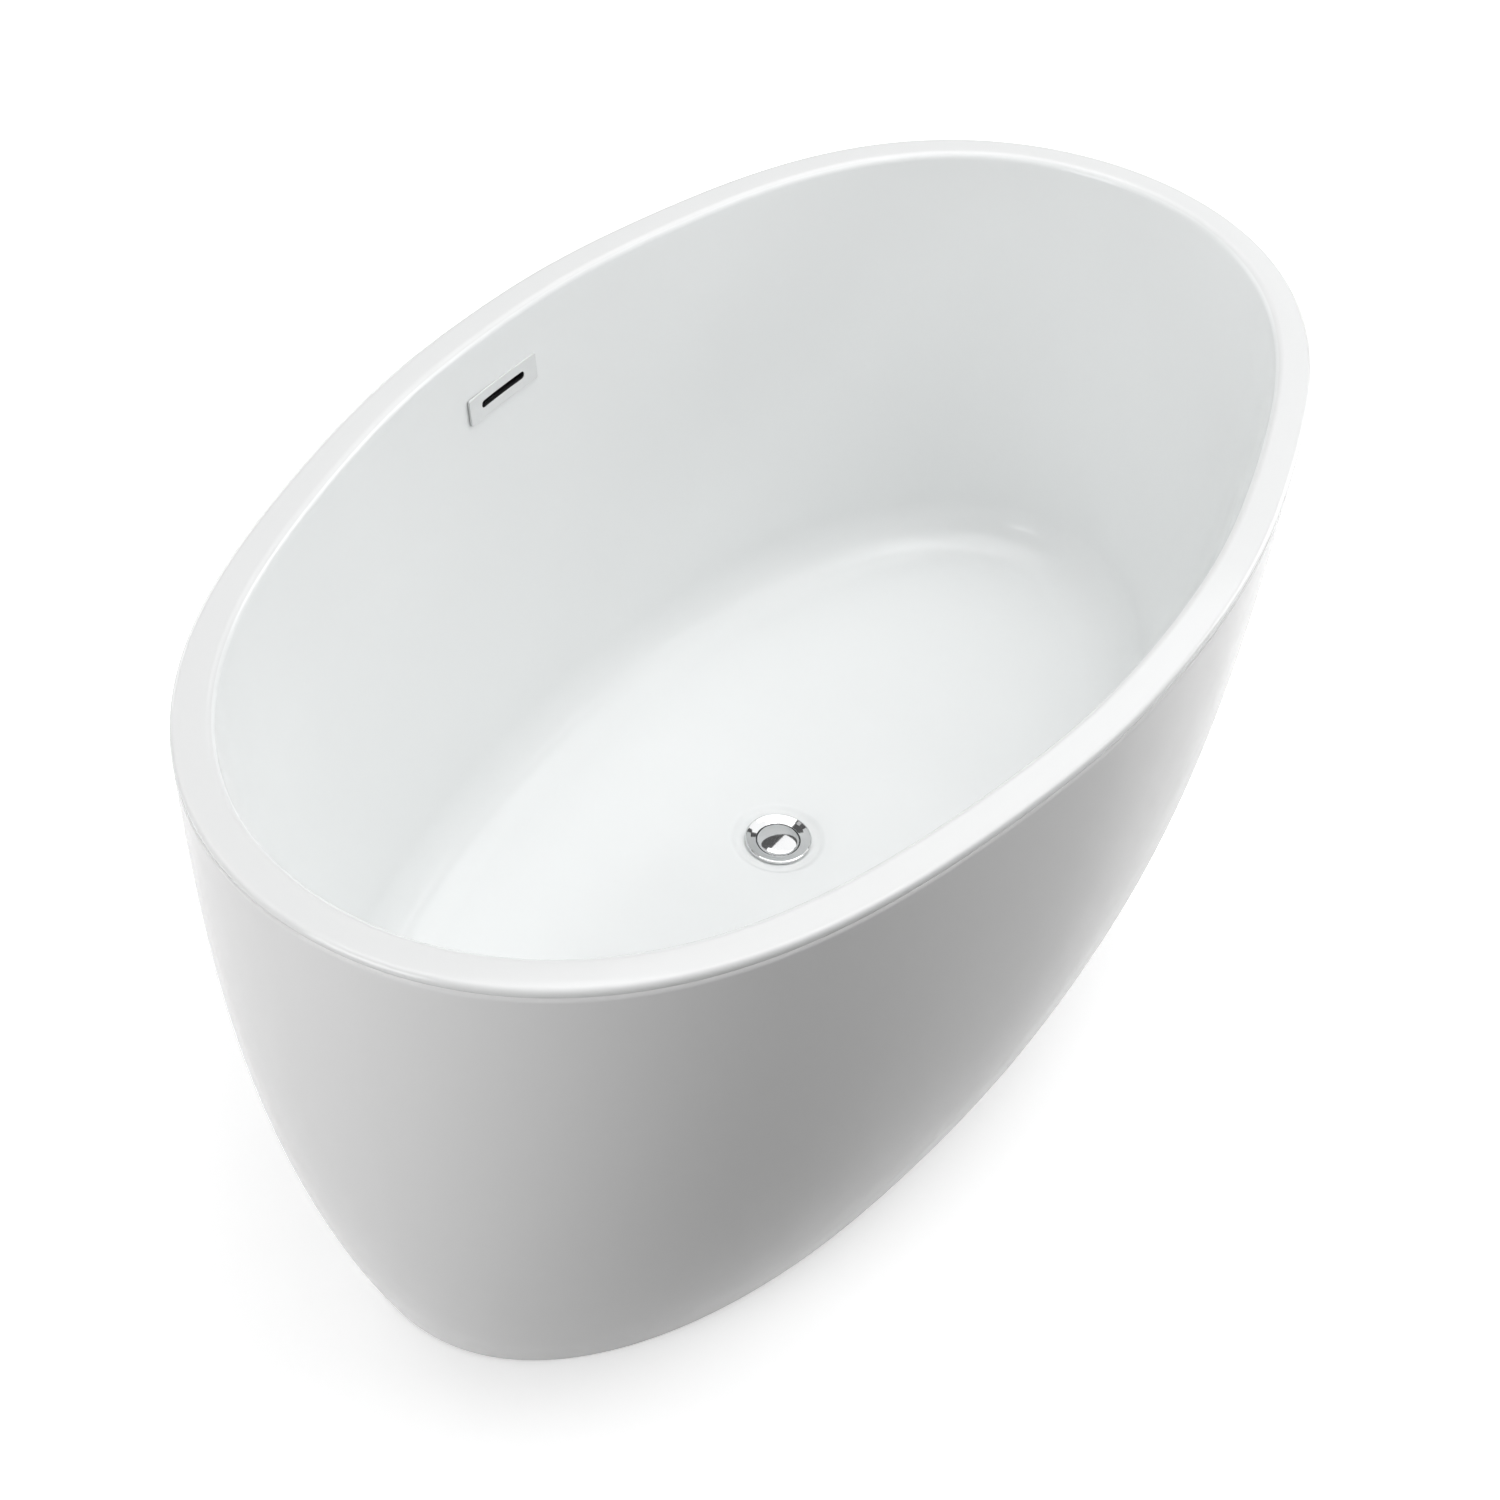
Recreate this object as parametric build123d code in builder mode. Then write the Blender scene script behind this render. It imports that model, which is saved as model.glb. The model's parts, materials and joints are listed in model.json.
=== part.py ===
from build123d import *
import math
import os

os.makedirs("parts", exist_ok=True)

# ---------------------------------------------------------------- driving dimensions (mm)
L_RIM = 1200.0          # overall length at the rim
W_RIM = 700.0           # overall width at the rim
H_RIM = 580.0           # height of the rim above the ground
RIM_W = 30.0            # width of the flat rim
RIM_T = 6.0             # thickness of the flat rim
T_WALL = 5.0            # acrylic and fibreglass wall
T_FLOOR = 6.0           # basin floor thickness
Z_FLOOR = 141.0         # top of the basin floor
FLOOR_A = 490.0         # flat floor, half length
FLOOR_B = 210.0         # flat floor, half width
R_CORNER = 55.0         # floor to wall radius
PHI_END = 80.0          # where the floor radius runs into the wall, degrees
WALL_POW = 1.3          # belly of the basin wall
BASE_A = 523.0          # skirt outline at the ground, half length
BASE_B = 261.0          # skirt outline at the ground, half width
BASE_N = 2.05           # roundness of the ground outline
SKIRT_POW = 2.85        # how far down the skirt stays upright
Z_SKIRT = 2.0           # lower edge of the skirt
LIP_W = 25.0            # inward return at the foot of the skirt
C4, C6, C8 = 0.0304, -0.0023, -0.0037   # shape of the rim oval
N_PT = 32               # points around every outline

X_WASTE = 12.0          # waste and overflow position along the length
RECESS_R = 44.0
RECESS_D = 3.0
BOSS_R = 50.0
HOLE_R = 25.0

BOARD_A, BOARD_B, BOARD_T = 450.0, 185.0, 18.0
TUBE = 25.0
TUBE_T = 2.0
RAIL_Y = 110.0
CROSS_X = 330.0
CROSS_HALF = 212.0
FOOT_Y = 135.0
STUD_R = 6.0
RING_T = 18.0
RING_W = 50.0
RUN = 0.05              # radial running clearance

Z_FLOOR_LOW = Z_FLOOR - T_FLOOR              # underside of the basin floor
Z_BOARD = Z_FLOOR_LOW - BOARD_T              # underside of the board
Z_TUBE = Z_BOARD - TUBE                      # underside of the steel frame
Z_RIM_LOW = H_RIM - RIM_T
Z_RING = Z_TUBE - RING_T

# ---------------------------------------------------------------- outlines
TH = [2 * math.pi * i / N_PT for i in range(N_PT)]
TH_FINE = [2 * math.pi * i / (N_PT * 16) for i in range(N_PT * 16)]
C2 = (math.log(L_RIM / W_RIM) - 2 * C6) / 2


def rim_r(t):
    e = C2 * math.cos(2 * t) + C4 * math.cos(4 * t) + C6 * math.cos(6 * t) + C8 * math.cos(8 * t)
    return L_RIM / 2 * math.exp(e - C2 - C4 - C6 - C8)


def oval_r(t, a, b, n):
    return ((abs(math.cos(t)) / a) ** n + (abs(math.sin(t)) / b) ** n) ** (-1.0 / n)


def polar(fn):
    return [(fn(t) * math.cos(t), fn(t) * math.sin(t)) for t in TH_FINE]


def offset_line(pts, w):
    out = []
    n = len(pts)
    for i in range(n):
        (x0, y0), (x1, y1) = pts[i - 1], pts[(i + 1) % n]
        tx, ty = x1 - x0, y1 - y0
        m = math.hypot(tx, ty)
        out.append((pts[i][0] + w * ty / m, pts[i][1] - w * tx / m))
    return out


def mix(p, q, k):
    return [(a[0] * (1 - k) + b[0] * k, a[1] * (1 - k) + b[1] * k) for a, b in zip(p, q)]


RIM_LINE = polar(rim_r)
OPEN_LINE = offset_line(RIM_LINE, -RIM_W)
BASE_LINE = polar(lambda t: oval_r(t, BASE_A, BASE_B, BASE_N))
FLOOR_LINE = polar(lambda t: oval_r(t, FLOOR_A, FLOOR_B, 2.0))


def skirt_line(z, inward):
    q = (1 - z / H_RIM) ** SKIRT_POW
    return offset_line(mix(RIM_LINE, BASE_LINE, q), -inward)


def wall_start(r):
    return r * math.sin(math.radians(PHI_END)), r * (1 - math.cos(math.radians(PHI_END)))


def basin_line(z):
    """Inner face of the basin wall above the floor radius."""
    d, h = wall_start(R_CORNER)
    low = offset_line(FLOOR_LINE, d)
    s = (z - Z_FLOOR - h) / (H_RIM - Z_FLOOR - h)
    return mix(OPEN_LINE, low, max(0.0, 1 - s) ** WALL_POW)


def closed_spline(pts):
    pick = pts[::16]
    return Edge.make_spline([Vector(x, y, 0) for x, y in pick], periodic=True,
                            parameters=[i / N_PT for i in range(N_PT + 1)])


def sections_cavity():
    out = [(Z_FLOOR, FLOOR_LINE)]
    for k in range(1, 5):
        phi = math.radians(PHI_END * k / 4)
        out.append((Z_FLOOR + R_CORNER * (1 - math.cos(phi)), offset_line(FLOOR_LINE, R_CORNER * math.sin(phi))))
    z0 = out[-1][0]
    for k in range(1, 7):
        z = z0 + (H_RIM - z0) * k / 6
        out.append((z, basin_line(z)))
    return out


def sections_underside():
    r = R_CORNER + T_FLOOR
    out = [(Z_FLOOR_LOW, FLOOR_LINE)]
    for k in range(1, 5):
        phi = math.radians(PHI_END * k / 4)
        out.append((Z_FLOOR_LOW + r * (1 - math.cos(phi)), offset_line(FLOOR_LINE, r * math.sin(phi))))
    z0 = out[-1][0]
    extra = r * math.sin(math.radians(PHI_END)) - wall_start(R_CORNER)[0]
    for k in range(1, 7):
        z = z0 + (Z_RIM_LOW - z0) * k / 6
        zi = max(z, Z_FLOOR + wall_start(R_CORNER)[1])
        out.append((z, offset_line(basin_line(zi), extra + (T_WALL - extra) * k / 6)))
    return out


SKIRT_Z = [Z_SKIRT, 40.0, 85.0, 140.0, 210.0, 300.0, 400.0, 490.0, Z_RIM_LOW]

# place of the overflow on the long wall
Z_OVER = 517.5
WALL_Y = sorted((abs(p[0] - X_WASTE), p[1]) for p in basin_line(Z_OVER) if p[1] > 0)[0][1]
Y_UP = sorted((abs(p[0] - X_WASTE), p[1]) for p in basin_line(Z_OVER + 12) if p[1] > 0)[0][1]
Y_DN = sorted((abs(p[0] - X_WASTE), p[1]) for p in basin_line(Z_OVER - 12) if p[1] > 0)[0][1]
TILT = math.atan2(Y_UP - Y_DN, 24.0)
OVER = Plane(origin=(X_WASTE, WALL_Y, Z_OVER), x_dir=(-1, 0, 0), z_dir=(0, -math.cos(TILT), math.sin(TILT)))

# ---------------------------------------------------------------- 1 basin shell with its flat rim
with BuildPart() as basin_shell:
    for z, line in sections_underside():
        with BuildSketch(Plane.XY.offset(z)):
            with BuildLine():
                add(closed_spline(line))
            make_face()
    loft()
    with BuildSketch(Plane.XY.offset(Z_RIM_LOW)):
        with BuildLine():
            add(closed_spline(RIM_LINE))
        make_face()
    extrude(amount=RIM_T)
    with BuildSketch(Plane.XY.offset(Z_FLOOR_LOW - RECESS_D)):
        with Locations((X_WASTE, 0)):
            Circle(BOSS_R)
    extrude(amount=RECESS_D + 1.0)
    for z, line in sections_cavity():
        with BuildSketch(Plane.XY.offset(z)):
            with BuildLine():
                add(closed_spline(line))
            make_face()
    loft(mode=Mode.SUBTRACT)
    with BuildSketch(Plane.XY.offset(Z_FLOOR - RECESS_D)):
        with Locations((X_WASTE, 0)):
            Circle(RECESS_R)
    extrude(amount=RECESS_D + 5.0, mode=Mode.SUBTRACT)
    with BuildSketch(Plane.XY.offset(Z_FLOOR_LOW - 10.0)):
        with Locations((X_WASTE, 0)):
            Circle(HOLE_R)
    extrude(amount=20.0, mode=Mode.SUBTRACT)
    with BuildSketch(OVER.offset(-12.0)):
        SlotOverall(64.0, 12.0)
        with Locations((-39.0, 0), (39.0, 0)):
            Circle(2.6)
    extrude(amount=20.0, mode=Mode.SUBTRACT)
    fillet(basin_shell.edges().filter_by(lambda e: abs(e.center().Z - H_RIM) < 0.01 and e.length > 2000), radius=4.5)
basin_shell.part.label = "basin_shell"
export_step(basin_shell.part, "parts/basin_shell.step")

# ---------------------------------------------------------------- 2 outer skirt shell
with BuildPart() as skirt_shell:
    for z in SKIRT_Z:
        with BuildSketch(Plane.XY.offset(z)):
            with BuildLine():
                add(closed_spline(skirt_line(z, 0)))
            make_face()
    loft()
    for z in [Z_SKIRT - 1.0] + SKIRT_Z[1:-1] + [Z_RIM_LOW + 1.0]:
        with BuildSketch(Plane.XY.offset(z)):
            with BuildLine():
                add(closed_spline(skirt_line(z, T_WALL)))
            make_face()
    loft(mode=Mode.SUBTRACT)
    with BuildSketch(Plane.XY.offset(Z_SKIRT)):
        with BuildLine():
            add(closed_spline(skirt_line(Z_SKIRT, 1.0)))
        make_face()
        with BuildLine():
            add(closed_spline(skirt_line(Z_SKIRT, LIP_W)))
        make_face(mode=Mode.SUBTRACT)
    extrude(amount=T_WALL)
skirt_shell.part.label = "skirt_shell"
export_step(skirt_shell.part, "parts/skirt_shell.step")

# ---------------------------------------------------------------- 3 bond bead under the rim
with BuildPart() as rim_bond:
    with BuildSketch(Plane.XY.offset(Z_RIM_LOW - 8.0)):
        with BuildLine():
            add(closed_spline(skirt_line(Z_RIM_LOW, T_WALL + 0.06)))
        make_face()
        with BuildLine():
            add(closed_spline(skirt_line(Z_RIM_LOW, T_WALL + 6.0)))
        make_face(mode=Mode.SUBTRACT)
    extrude(amount=8.0)
rim_bond.part.label = "rim_bond"
export_step(rim_bond.part, "parts/rim_bond.step")

# ---------------------------------------------------------------- 4 stiffener ring inside the skirt
CORNERS = [(-1, -1), (1, -1), (1, 1), (-1, 1)]
RING_SCREWS = [(sx * CROSS_X, sy * 200.0) for sx, sy in CORNERS]
with BuildPart() as skirt_ring:
    for z in (Z_RING, Z_TUBE):
        with BuildSketch(Plane.XY.offset(z)):
            with BuildLine():
                add(closed_spline(skirt_line(z, T_WALL + 0.1)))
            make_face()
    loft()
    with BuildSketch(Plane.XY.offset(Z_RING - 1.0)):
        with BuildLine():
            add(closed_spline(skirt_line(Z_RING, T_WALL + RING_W)))
        make_face()
    extrude(amount=RING_T + 2.0, mode=Mode.SUBTRACT)
    with BuildSketch(Plane.XY.offset(Z_RING - 1.0)):
        with Locations((X_WASTE, 265.0)):
            Rectangle(44.0, 120.0)
    extrude(amount=RING_T + 2.0, mode=Mode.SUBTRACT)
    with BuildSketch(Plane.XY.offset(Z_RING - 1.0)):
        with Locations(*RING_SCREWS):
            Circle(2.0 + RUN)
    extrude(amount=RING_T + 2.0, mode=Mode.SUBTRACT)
skirt_ring.part.label = "skirt_ring"
export_step(skirt_ring.part, "parts/skirt_ring.step")

# ---------------------------------------------------------------- 5 floor support board
BOARD_SCREWS = [(sx * 250.0, sy * RAIL_Y) for sx, sy in CORNERS] + [(-90.0, -RAIL_Y), (-90.0, RAIL_Y)]
with BuildPart() as floor_board:
    with BuildSketch(Plane.XY.offset(Z_BOARD)):
        Ellipse(BOARD_A, BOARD_B)
        with Locations((X_WASTE, 0)):
            Circle(58.0, mode=Mode.SUBTRACT)
    extrude(amount=BOARD_T)
    with BuildSketch(Plane.XY.offset(Z_BOARD)):
        with Locations(*BOARD_SCREWS):
            Circle(2.0 + RUN)
    extrude(amount=14.5, mode=Mode.SUBTRACT)
floor_board.part.label = "floor_board"
export_step(floor_board.part, "parts/floor_board.step")

# ---------------------------------------------------------------- 6-9 steel frame of square tube
RAIL_HALF = CROSS_X - TUBE / 2
with BuildPart() as rail_left:
    with BuildSketch(Plane.YZ.offset(-RAIL_HALF)):
        with Locations((RAIL_Y, Z_TUBE + TUBE / 2)):
            RectangleRounded(TUBE, TUBE, 2.5)
            RectangleRounded(TUBE - 2 * TUBE_T, TUBE - 2 * TUBE_T, 1.0, mode=Mode.SUBTRACT)
    extrude(amount=2 * RAIL_HALF)
    with BuildSketch(Plane.XY.offset(Z_TUBE)):
        with Locations(*[p for p in BOARD_SCREWS if p[1] > 0]):
            Circle(2.3)
    extrude(amount=TUBE, mode=Mode.SUBTRACT)
rail_left.part.label = "rail_left"
export_step(rail_left.part, "parts/rail_left.step")

with BuildPart() as rail_right:
    with BuildSketch(Plane.YZ.offset(-RAIL_HALF)):
        with Locations((-RAIL_Y, Z_TUBE + TUBE / 2)):
            RectangleRounded(TUBE, TUBE, 2.5)
            RectangleRounded(TUBE - 2 * TUBE_T, TUBE - 2 * TUBE_T, 1.0, mode=Mode.SUBTRACT)
    extrude(amount=2 * RAIL_HALF)
    with BuildSketch(Plane.XY.offset(Z_TUBE)):
        with Locations(*[p for p in BOARD_SCREWS if p[1] < 0]):
            Circle(2.3)
    extrude(amount=TUBE, mode=Mode.SUBTRACT)
rail_right.part.label = "rail_right"
export_step(rail_right.part, "parts/rail_right.step")

with BuildPart() as cross_front:
    with BuildSketch(Plane.XZ.offset(-CROSS_HALF)):
        with Locations((-CROSS_X, Z_TUBE + TUBE / 2)):
            RectangleRounded(TUBE, TUBE, 2.5)
            RectangleRounded(TUBE - 2 * TUBE_T, TUBE - 2 * TUBE_T, 1.0, mode=Mode.SUBTRACT)
    extrude(amount=2 * CROSS_HALF)
    with BuildSketch(Plane.XY.offset(Z_TUBE)):
        with Locations((-CROSS_X, -200.0), (-CROSS_X, 200.0)):
            Circle(2.3)
        with Locations((-CROSS_X, -FOOT_Y), (-CROSS_X, FOOT_Y)):
            Circle(STUD_R + 0.5)
    extrude(amount=TUBE, mode=Mode.SUBTRACT)
cross_front.part.label = "cross_front"
export_step(cross_front.part, "parts/cross_front.step")

with BuildPart() as cross_back:
    with BuildSketch(Plane.XZ.offset(-CROSS_HALF)):
        with Locations((CROSS_X, Z_TUBE + TUBE / 2)):
            RectangleRounded(TUBE, TUBE, 2.5)
            RectangleRounded(TUBE - 2 * TUBE_T, TUBE - 2 * TUBE_T, 1.0, mode=Mode.SUBTRACT)
    extrude(amount=2 * CROSS_HALF)
    with BuildSketch(Plane.XY.offset(Z_TUBE)):
        with Locations((CROSS_X, -200.0), (CROSS_X, 200.0)):
            Circle(2.3)
        with Locations((CROSS_X, -FOOT_Y), (CROSS_X, FOOT_Y)):
            Circle(STUD_R + 0.5)
    extrude(amount=TUBE, mode=Mode.SUBTRACT)
cross_back.part.label = "cross_back"
export_step(cross_back.part, "parts/cross_back.step")

# ---------------------------------------------------------------- 10 plastic caps in the tube ends
with BuildPart() as tube_caps:
    for sy in (-1, 1):
        for sx in (-1, 1):
            with BuildSketch(Plane(origin=(sx * CROSS_X, sy * CROSS_HALF, Z_TUBE + TUBE / 2), x_dir=(1, 0, 0), z_dir=(0, sy, 0))):
                RectangleRounded(TUBE - 0.6, TUBE - 0.6, 2.2)
            extrude(amount=2.0)
            with BuildSketch(Plane(origin=(sx * CROSS_X, sy * CROSS_HALF, Z_TUBE + TUBE / 2), x_dir=(1, 0, 0), z_dir=(0, sy, 0))):
                RectangleRounded(TUBE - 2 * TUBE_T - 0.3, TUBE - 2 * TUBE_T - 0.3, 0.9)
            extrude(amount=-7.0)
tube_caps.part.label = "tube_caps"
export_step(tube_caps.part, "parts/tube_caps.step")

# ---------------------------------------------------------------- 11 screws through the rails into the board
with BuildPart() as board_screws:
    with BuildSketch(Plane.XY.offset(Z_TUBE - 3.0)):
        with Locations(*BOARD_SCREWS):
            Circle(4.2)
    extrude(amount=3.0)
    chamfer(board_screws.edges().filter_by(lambda e: abs(e.center().Z - (Z_TUBE - 3.0)) < 0.01), length=1.0)
    with BuildSketch(Plane.XY.offset(Z_TUBE - 1.0)):
        with Locations(*BOARD_SCREWS):
            Circle(2.0)
    extrude(amount=TUBE + 1.0 + 14.0)
    with BuildSketch(Plane.XY.offset(Z_TUBE - 3.0)):
        with Locations(*BOARD_SCREWS):
            RegularPolygon(1.7, 6)
    extrude(amount=1.6, mode=Mode.SUBTRACT)
board_screws.part.label = "board_screws"
export_step(board_screws.part, "parts/board_screws.step")

# ---------------------------------------------------------------- 12 screws through the cross-members into the ring
with BuildPart() as ring_screws:
    with BuildSketch(Plane.XY.offset(Z_BOARD)):
        with Locations(*RING_SCREWS):
            Circle(4.2)
    extrude(amount=3.0)
    chamfer(ring_screws.edges().filter_by(lambda e: abs(e.center().Z - (Z_BOARD + 3.0)) < 0.01), length=1.0)
    with BuildSketch(Plane.XY.offset(Z_RING + 2.0)):
        with Locations(*RING_SCREWS):
            Circle(2.0)
    extrude(amount=TUBE + RING_T - 1.0)
    with BuildSketch(Plane.XY.offset(Z_BOARD + 1.4)):
        with Locations(*RING_SCREWS):
            RegularPolygon(1.7, 6)
    extrude(amount=3.0, mode=Mode.SUBTRACT)
ring_screws.part.label = "ring_screws"
export_step(ring_screws.part, "parts/ring_screws.step")

# ---------------------------------------------------------------- 13-14 nuts of the levelling feet
FEET = [(sx * CROSS_X, sy * FOOT_Y) for sx, sy in CORNERS]
with BuildPart() as weld_nuts:
    with BuildSketch(Plane.XY.offset(Z_TUBE - 10.0)):
        with Locations(*FEET):
            RegularPolygon(9.5, 6, major_radius=False)
            Circle(STUD_R + RUN, mode=Mode.SUBTRACT)
    extrude(amount=10.0)
weld_nuts.part.label = "weld_nuts"
export_step(weld_nuts.part, "parts/weld_nuts.step")

with BuildPart() as jam_nuts:
    with BuildSketch(Plane.XY.offset(Z_TUBE - 17.0)):
        with Locations(*FEET):
            RegularPolygon(9.5, 6, major_radius=False)
            Circle(STUD_R + RUN, mode=Mode.SUBTRACT)
    extrude(amount=7.0)
jam_nuts.part.label = "jam_nuts"
export_step(jam_nuts.part, "parts/jam_nuts.step")

# ---------------------------------------------------------------- 15-26 four levelling feet: sole, pad and stud
for n, (fx, fy) in enumerate(FEET, start=1):
    with BuildPart() as foot_sole:
        with BuildSketch(Plane.XY):
            with Locations((fx, fy)):
                Circle(21.0)
        extrude(amount=3.0)
        chamfer(foot_sole.edges().filter_by(lambda e: abs(e.center().Z) < 0.01), length=0.8)
    foot_sole.part.label = f"foot_sole_{n}"
    export_step(foot_sole.part, f"parts/foot_sole_{n}.step")

    with BuildPart() as foot_pad:
        with BuildSketch(Plane.XZ.offset(-fy)):
            with BuildLine():
                Polyline((fx, 3.0), (fx + 21.5, 3.0), (fx + 21.5, 6.0), (fx + 17.0, 8.5), (fx + 11.0, 11.0),
                         (fx + 10.0, 16.0), (fx + STUD_R + RUN, 16.0), (fx + STUD_R + RUN, 8.0), (fx, 8.0), close=True)
            make_face()
        revolve(axis=Axis((fx, fy, 0), (0, 0, 1)))
    foot_pad.part.label = f"foot_pad_{n}"
    export_step(foot_pad.part, f"parts/foot_pad_{n}.step")

    with BuildPart() as foot_stud:
        with BuildSketch(Plane.XY.offset(8.05)):
            with Locations((fx, fy)):
                Circle(STUD_R)
        extrude(amount=119.0)
        chamfer(foot_stud.edges().filter_by(lambda e: e.center().Z > 120), length=1.2)
        with BuildSketch(Plane.XY.offset(18.0)):
            with Locations((fx, fy)):
                RegularPolygon(8.5, 6, major_radius=False)
        extrude(amount=8.0)
    foot_stud.part.label = f"foot_stud_{n}"
    export_step(foot_stud.part, f"parts/foot_stud_{n}.step")

# ---------------------------------------------------------------- drain, all on the waste axis
WASTE = Axis((X_WASTE, 0, 0), (0, 0, 1))
Z_REC = Z_FLOOR - RECESS_D
Z_UNDER = Z_FLOOR_LOW - RECESS_D
BODY_R = 23.5
BODY_LOW = 90.0
GASKET_T = 0.8


def ring_of(points):
    """Closed profile in the XZ plane, given as radius and height."""
    return [(X_WASTE + r, z) for r, z in points]


with BuildPart() as flange_gasket:
    with BuildSketch(Plane.XZ):
        with BuildLine():
            Polyline(*ring_of([(24.5, Z_REC), (30.0, Z_REC), (30.0, Z_REC + GASKET_T), (24.5, Z_REC + GASKET_T)]), close=True)
        make_face()
    revolve(axis=WASTE)
flange_gasket.part.label = "flange_gasket"
export_step(flange_gasket.part, "parts/flange_gasket.step")

LIP_TOP = Z_REC + 4.2
with BuildPart() as drain_flange:
    with BuildSketch(Plane.XZ):
        with BuildLine():
            Polyline(*ring_of([(BODY_R, BODY_LOW), (BODY_R, Z_REC + GASKET_T), (32.0, Z_REC + GASKET_T), (32.0, LIP_TOP - 1.6),
                               (31.6, LIP_TOP - 0.5), (30.6, LIP_TOP), (21.4, LIP_TOP - 3.0), (21.2, LIP_TOP - 7.7),
                               (19.0, LIP_TOP - 7.7), (19.0, BODY_LOW)]), close=True)
        make_face()
    revolve(axis=WASTE)
    with BuildSketch(Plane.XY.offset(100.0)):
        with Locations((X_WASTE, 0)):
            Rectangle(40.0, 5.0)
            Rectangle(5.0, 40.0)
    extrude(amount=5.0)
    with BuildSketch(Plane.XY.offset(99.0)):
        with Locations((X_WASTE, 0)):
            Circle(6.5)
    extrude(amount=8.0)
    with BuildSketch(Plane.XY.offset(98.0)):
        with Locations((X_WASTE, 0)):
            Circle(4.0 + RUN)
    extrude(amount=10.0, mode=Mode.SUBTRACT)
drain_flange.part.label = "drain_flange"
export_step(drain_flange.part, "parts/drain_flange.step")

Z_SEAT = LIP_TOP - 7.7
with BuildPart() as stopper_cap:
    with BuildSketch(Plane.XZ):
        with BuildLine():
            Polyline(*ring_of([(4.0 + RUN, 118.0), (6.6, 118.0), (6.6, Z_SEAT + 0.1), (12.0, Z_SEAT + 0.1), (12.0, Z_SEAT + 2.3),
                               (20.3, Z_SEAT + 2.3), (20.4, Z_SEAT + 4.4), (19.6, Z_SEAT + 5.2), (15.0, Z_SEAT + 6.3),
                               (10.0, Z_SEAT + 7.0), (5.0, Z_SEAT + 7.4), (0.0, Z_SEAT + 7.5), (0.0, Z_SEAT + 3.6),
                               (4.0 + RUN, Z_SEAT + 3.6)]), close=True)
        make_face()
    revolve(axis=WASTE)
stopper_cap.part.label = "stopper_cap"
export_step(stopper_cap.part, "parts/stopper_cap.step")

with BuildPart() as stopper_seal:
    with BuildSketch(Plane.XZ):
        with BuildLine():
            Polyline(*ring_of([(12.05, Z_SEAT + 0.1), (20.2, Z_SEAT + 0.1), (20.9, Z_SEAT + 1.2), (20.2, Z_SEAT + 2.25),
                               (12.05, Z_SEAT + 2.25)]), close=True)
        make_face()
    revolve(axis=WASTE)
stopper_seal.part.label = "stopper_seal"
export_step(stopper_seal.part, "parts/stopper_seal.step")

with BuildPart() as stopper_post:
    with BuildSketch(Plane.XY.offset(98.5)):
        with Locations((X_WASTE, 0)):
            Circle(4.0)
    extrude(amount=Z_SEAT - 98.5 + 1.5)
    chamfer(stopper_post.edges().filter_by(lambda e: e.center().Z > 120), length=0.8)
stopper_post.part.label = "stopper_post"
export_step(stopper_post.part, "parts/stopper_post.step")

with BuildPart() as stopper_spring:
    with BuildLine(Plane.XY.offset(107.6)):
        with Locations((X_WASTE, 0)):
            coil = Helix(pitch=2.9, height=8.7, radius=5.3)
    with BuildSketch(Plane(origin=coil @ 0, z_dir=coil % 0)):
        Circle(0.5)
    sweep(path=coil)
stopper_spring.part.label = "stopper_spring"
export_step(stopper_spring.part, "parts/stopper_spring.step")

with BuildPart() as waste_gasket:
    with BuildSketch(Plane.XZ):
        with BuildLine():
            Polyline(*ring_of([(BODY_R + 0.1, Z_UNDER - 3.0), (34.0, Z_UNDER - 3.0), (35.0, Z_UNDER), (BODY_R + 0.1, Z_UNDER)]), close=True)
        make_face()
    revolve(axis=WASTE)
waste_gasket.part.label = "waste_gasket"
export_step(waste_gasket.part, "parts/waste_gasket.step")

with BuildPart() as friction_washer:
    with BuildSketch(Plane.XY.offset(Z_UNDER - 4.5)):
        with Locations((X_WASTE, 0)):
            Circle(34.0)
            Circle(BODY_R + 0.1, mode=Mode.SUBTRACT)
    extrude(amount=1.5)
friction_washer.part.label = "friction_washer"
export_step(friction_washer.part, "parts/friction_washer.step")

with BuildPart() as drain_locknut:
    with BuildSketch(Plane.XY.offset(Z_UNDER - 15.5)):
        with Locations((X_WASTE, 0)):
            RegularPolygon(32.0, 8, major_radius=False)
    extrude(amount=9.0)
    with BuildSketch(Plane.XY.offset(Z_UNDER - 6.5)):
        with Locations((X_WASTE, 0)):
            Circle(33.0)
    extrude(amount=2.0)
    with BuildSketch(Plane.XY.offset(Z_UNDER - 16.5)):
        with Locations((X_WASTE, 0)):
            Circle(BODY_R + RUN)
    extrude(amount=14.0, mode=Mode.SUBTRACT)
drain_locknut.part.label = "drain_locknut"
export_step(drain_locknut.part, "parts/drain_locknut.step")

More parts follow.
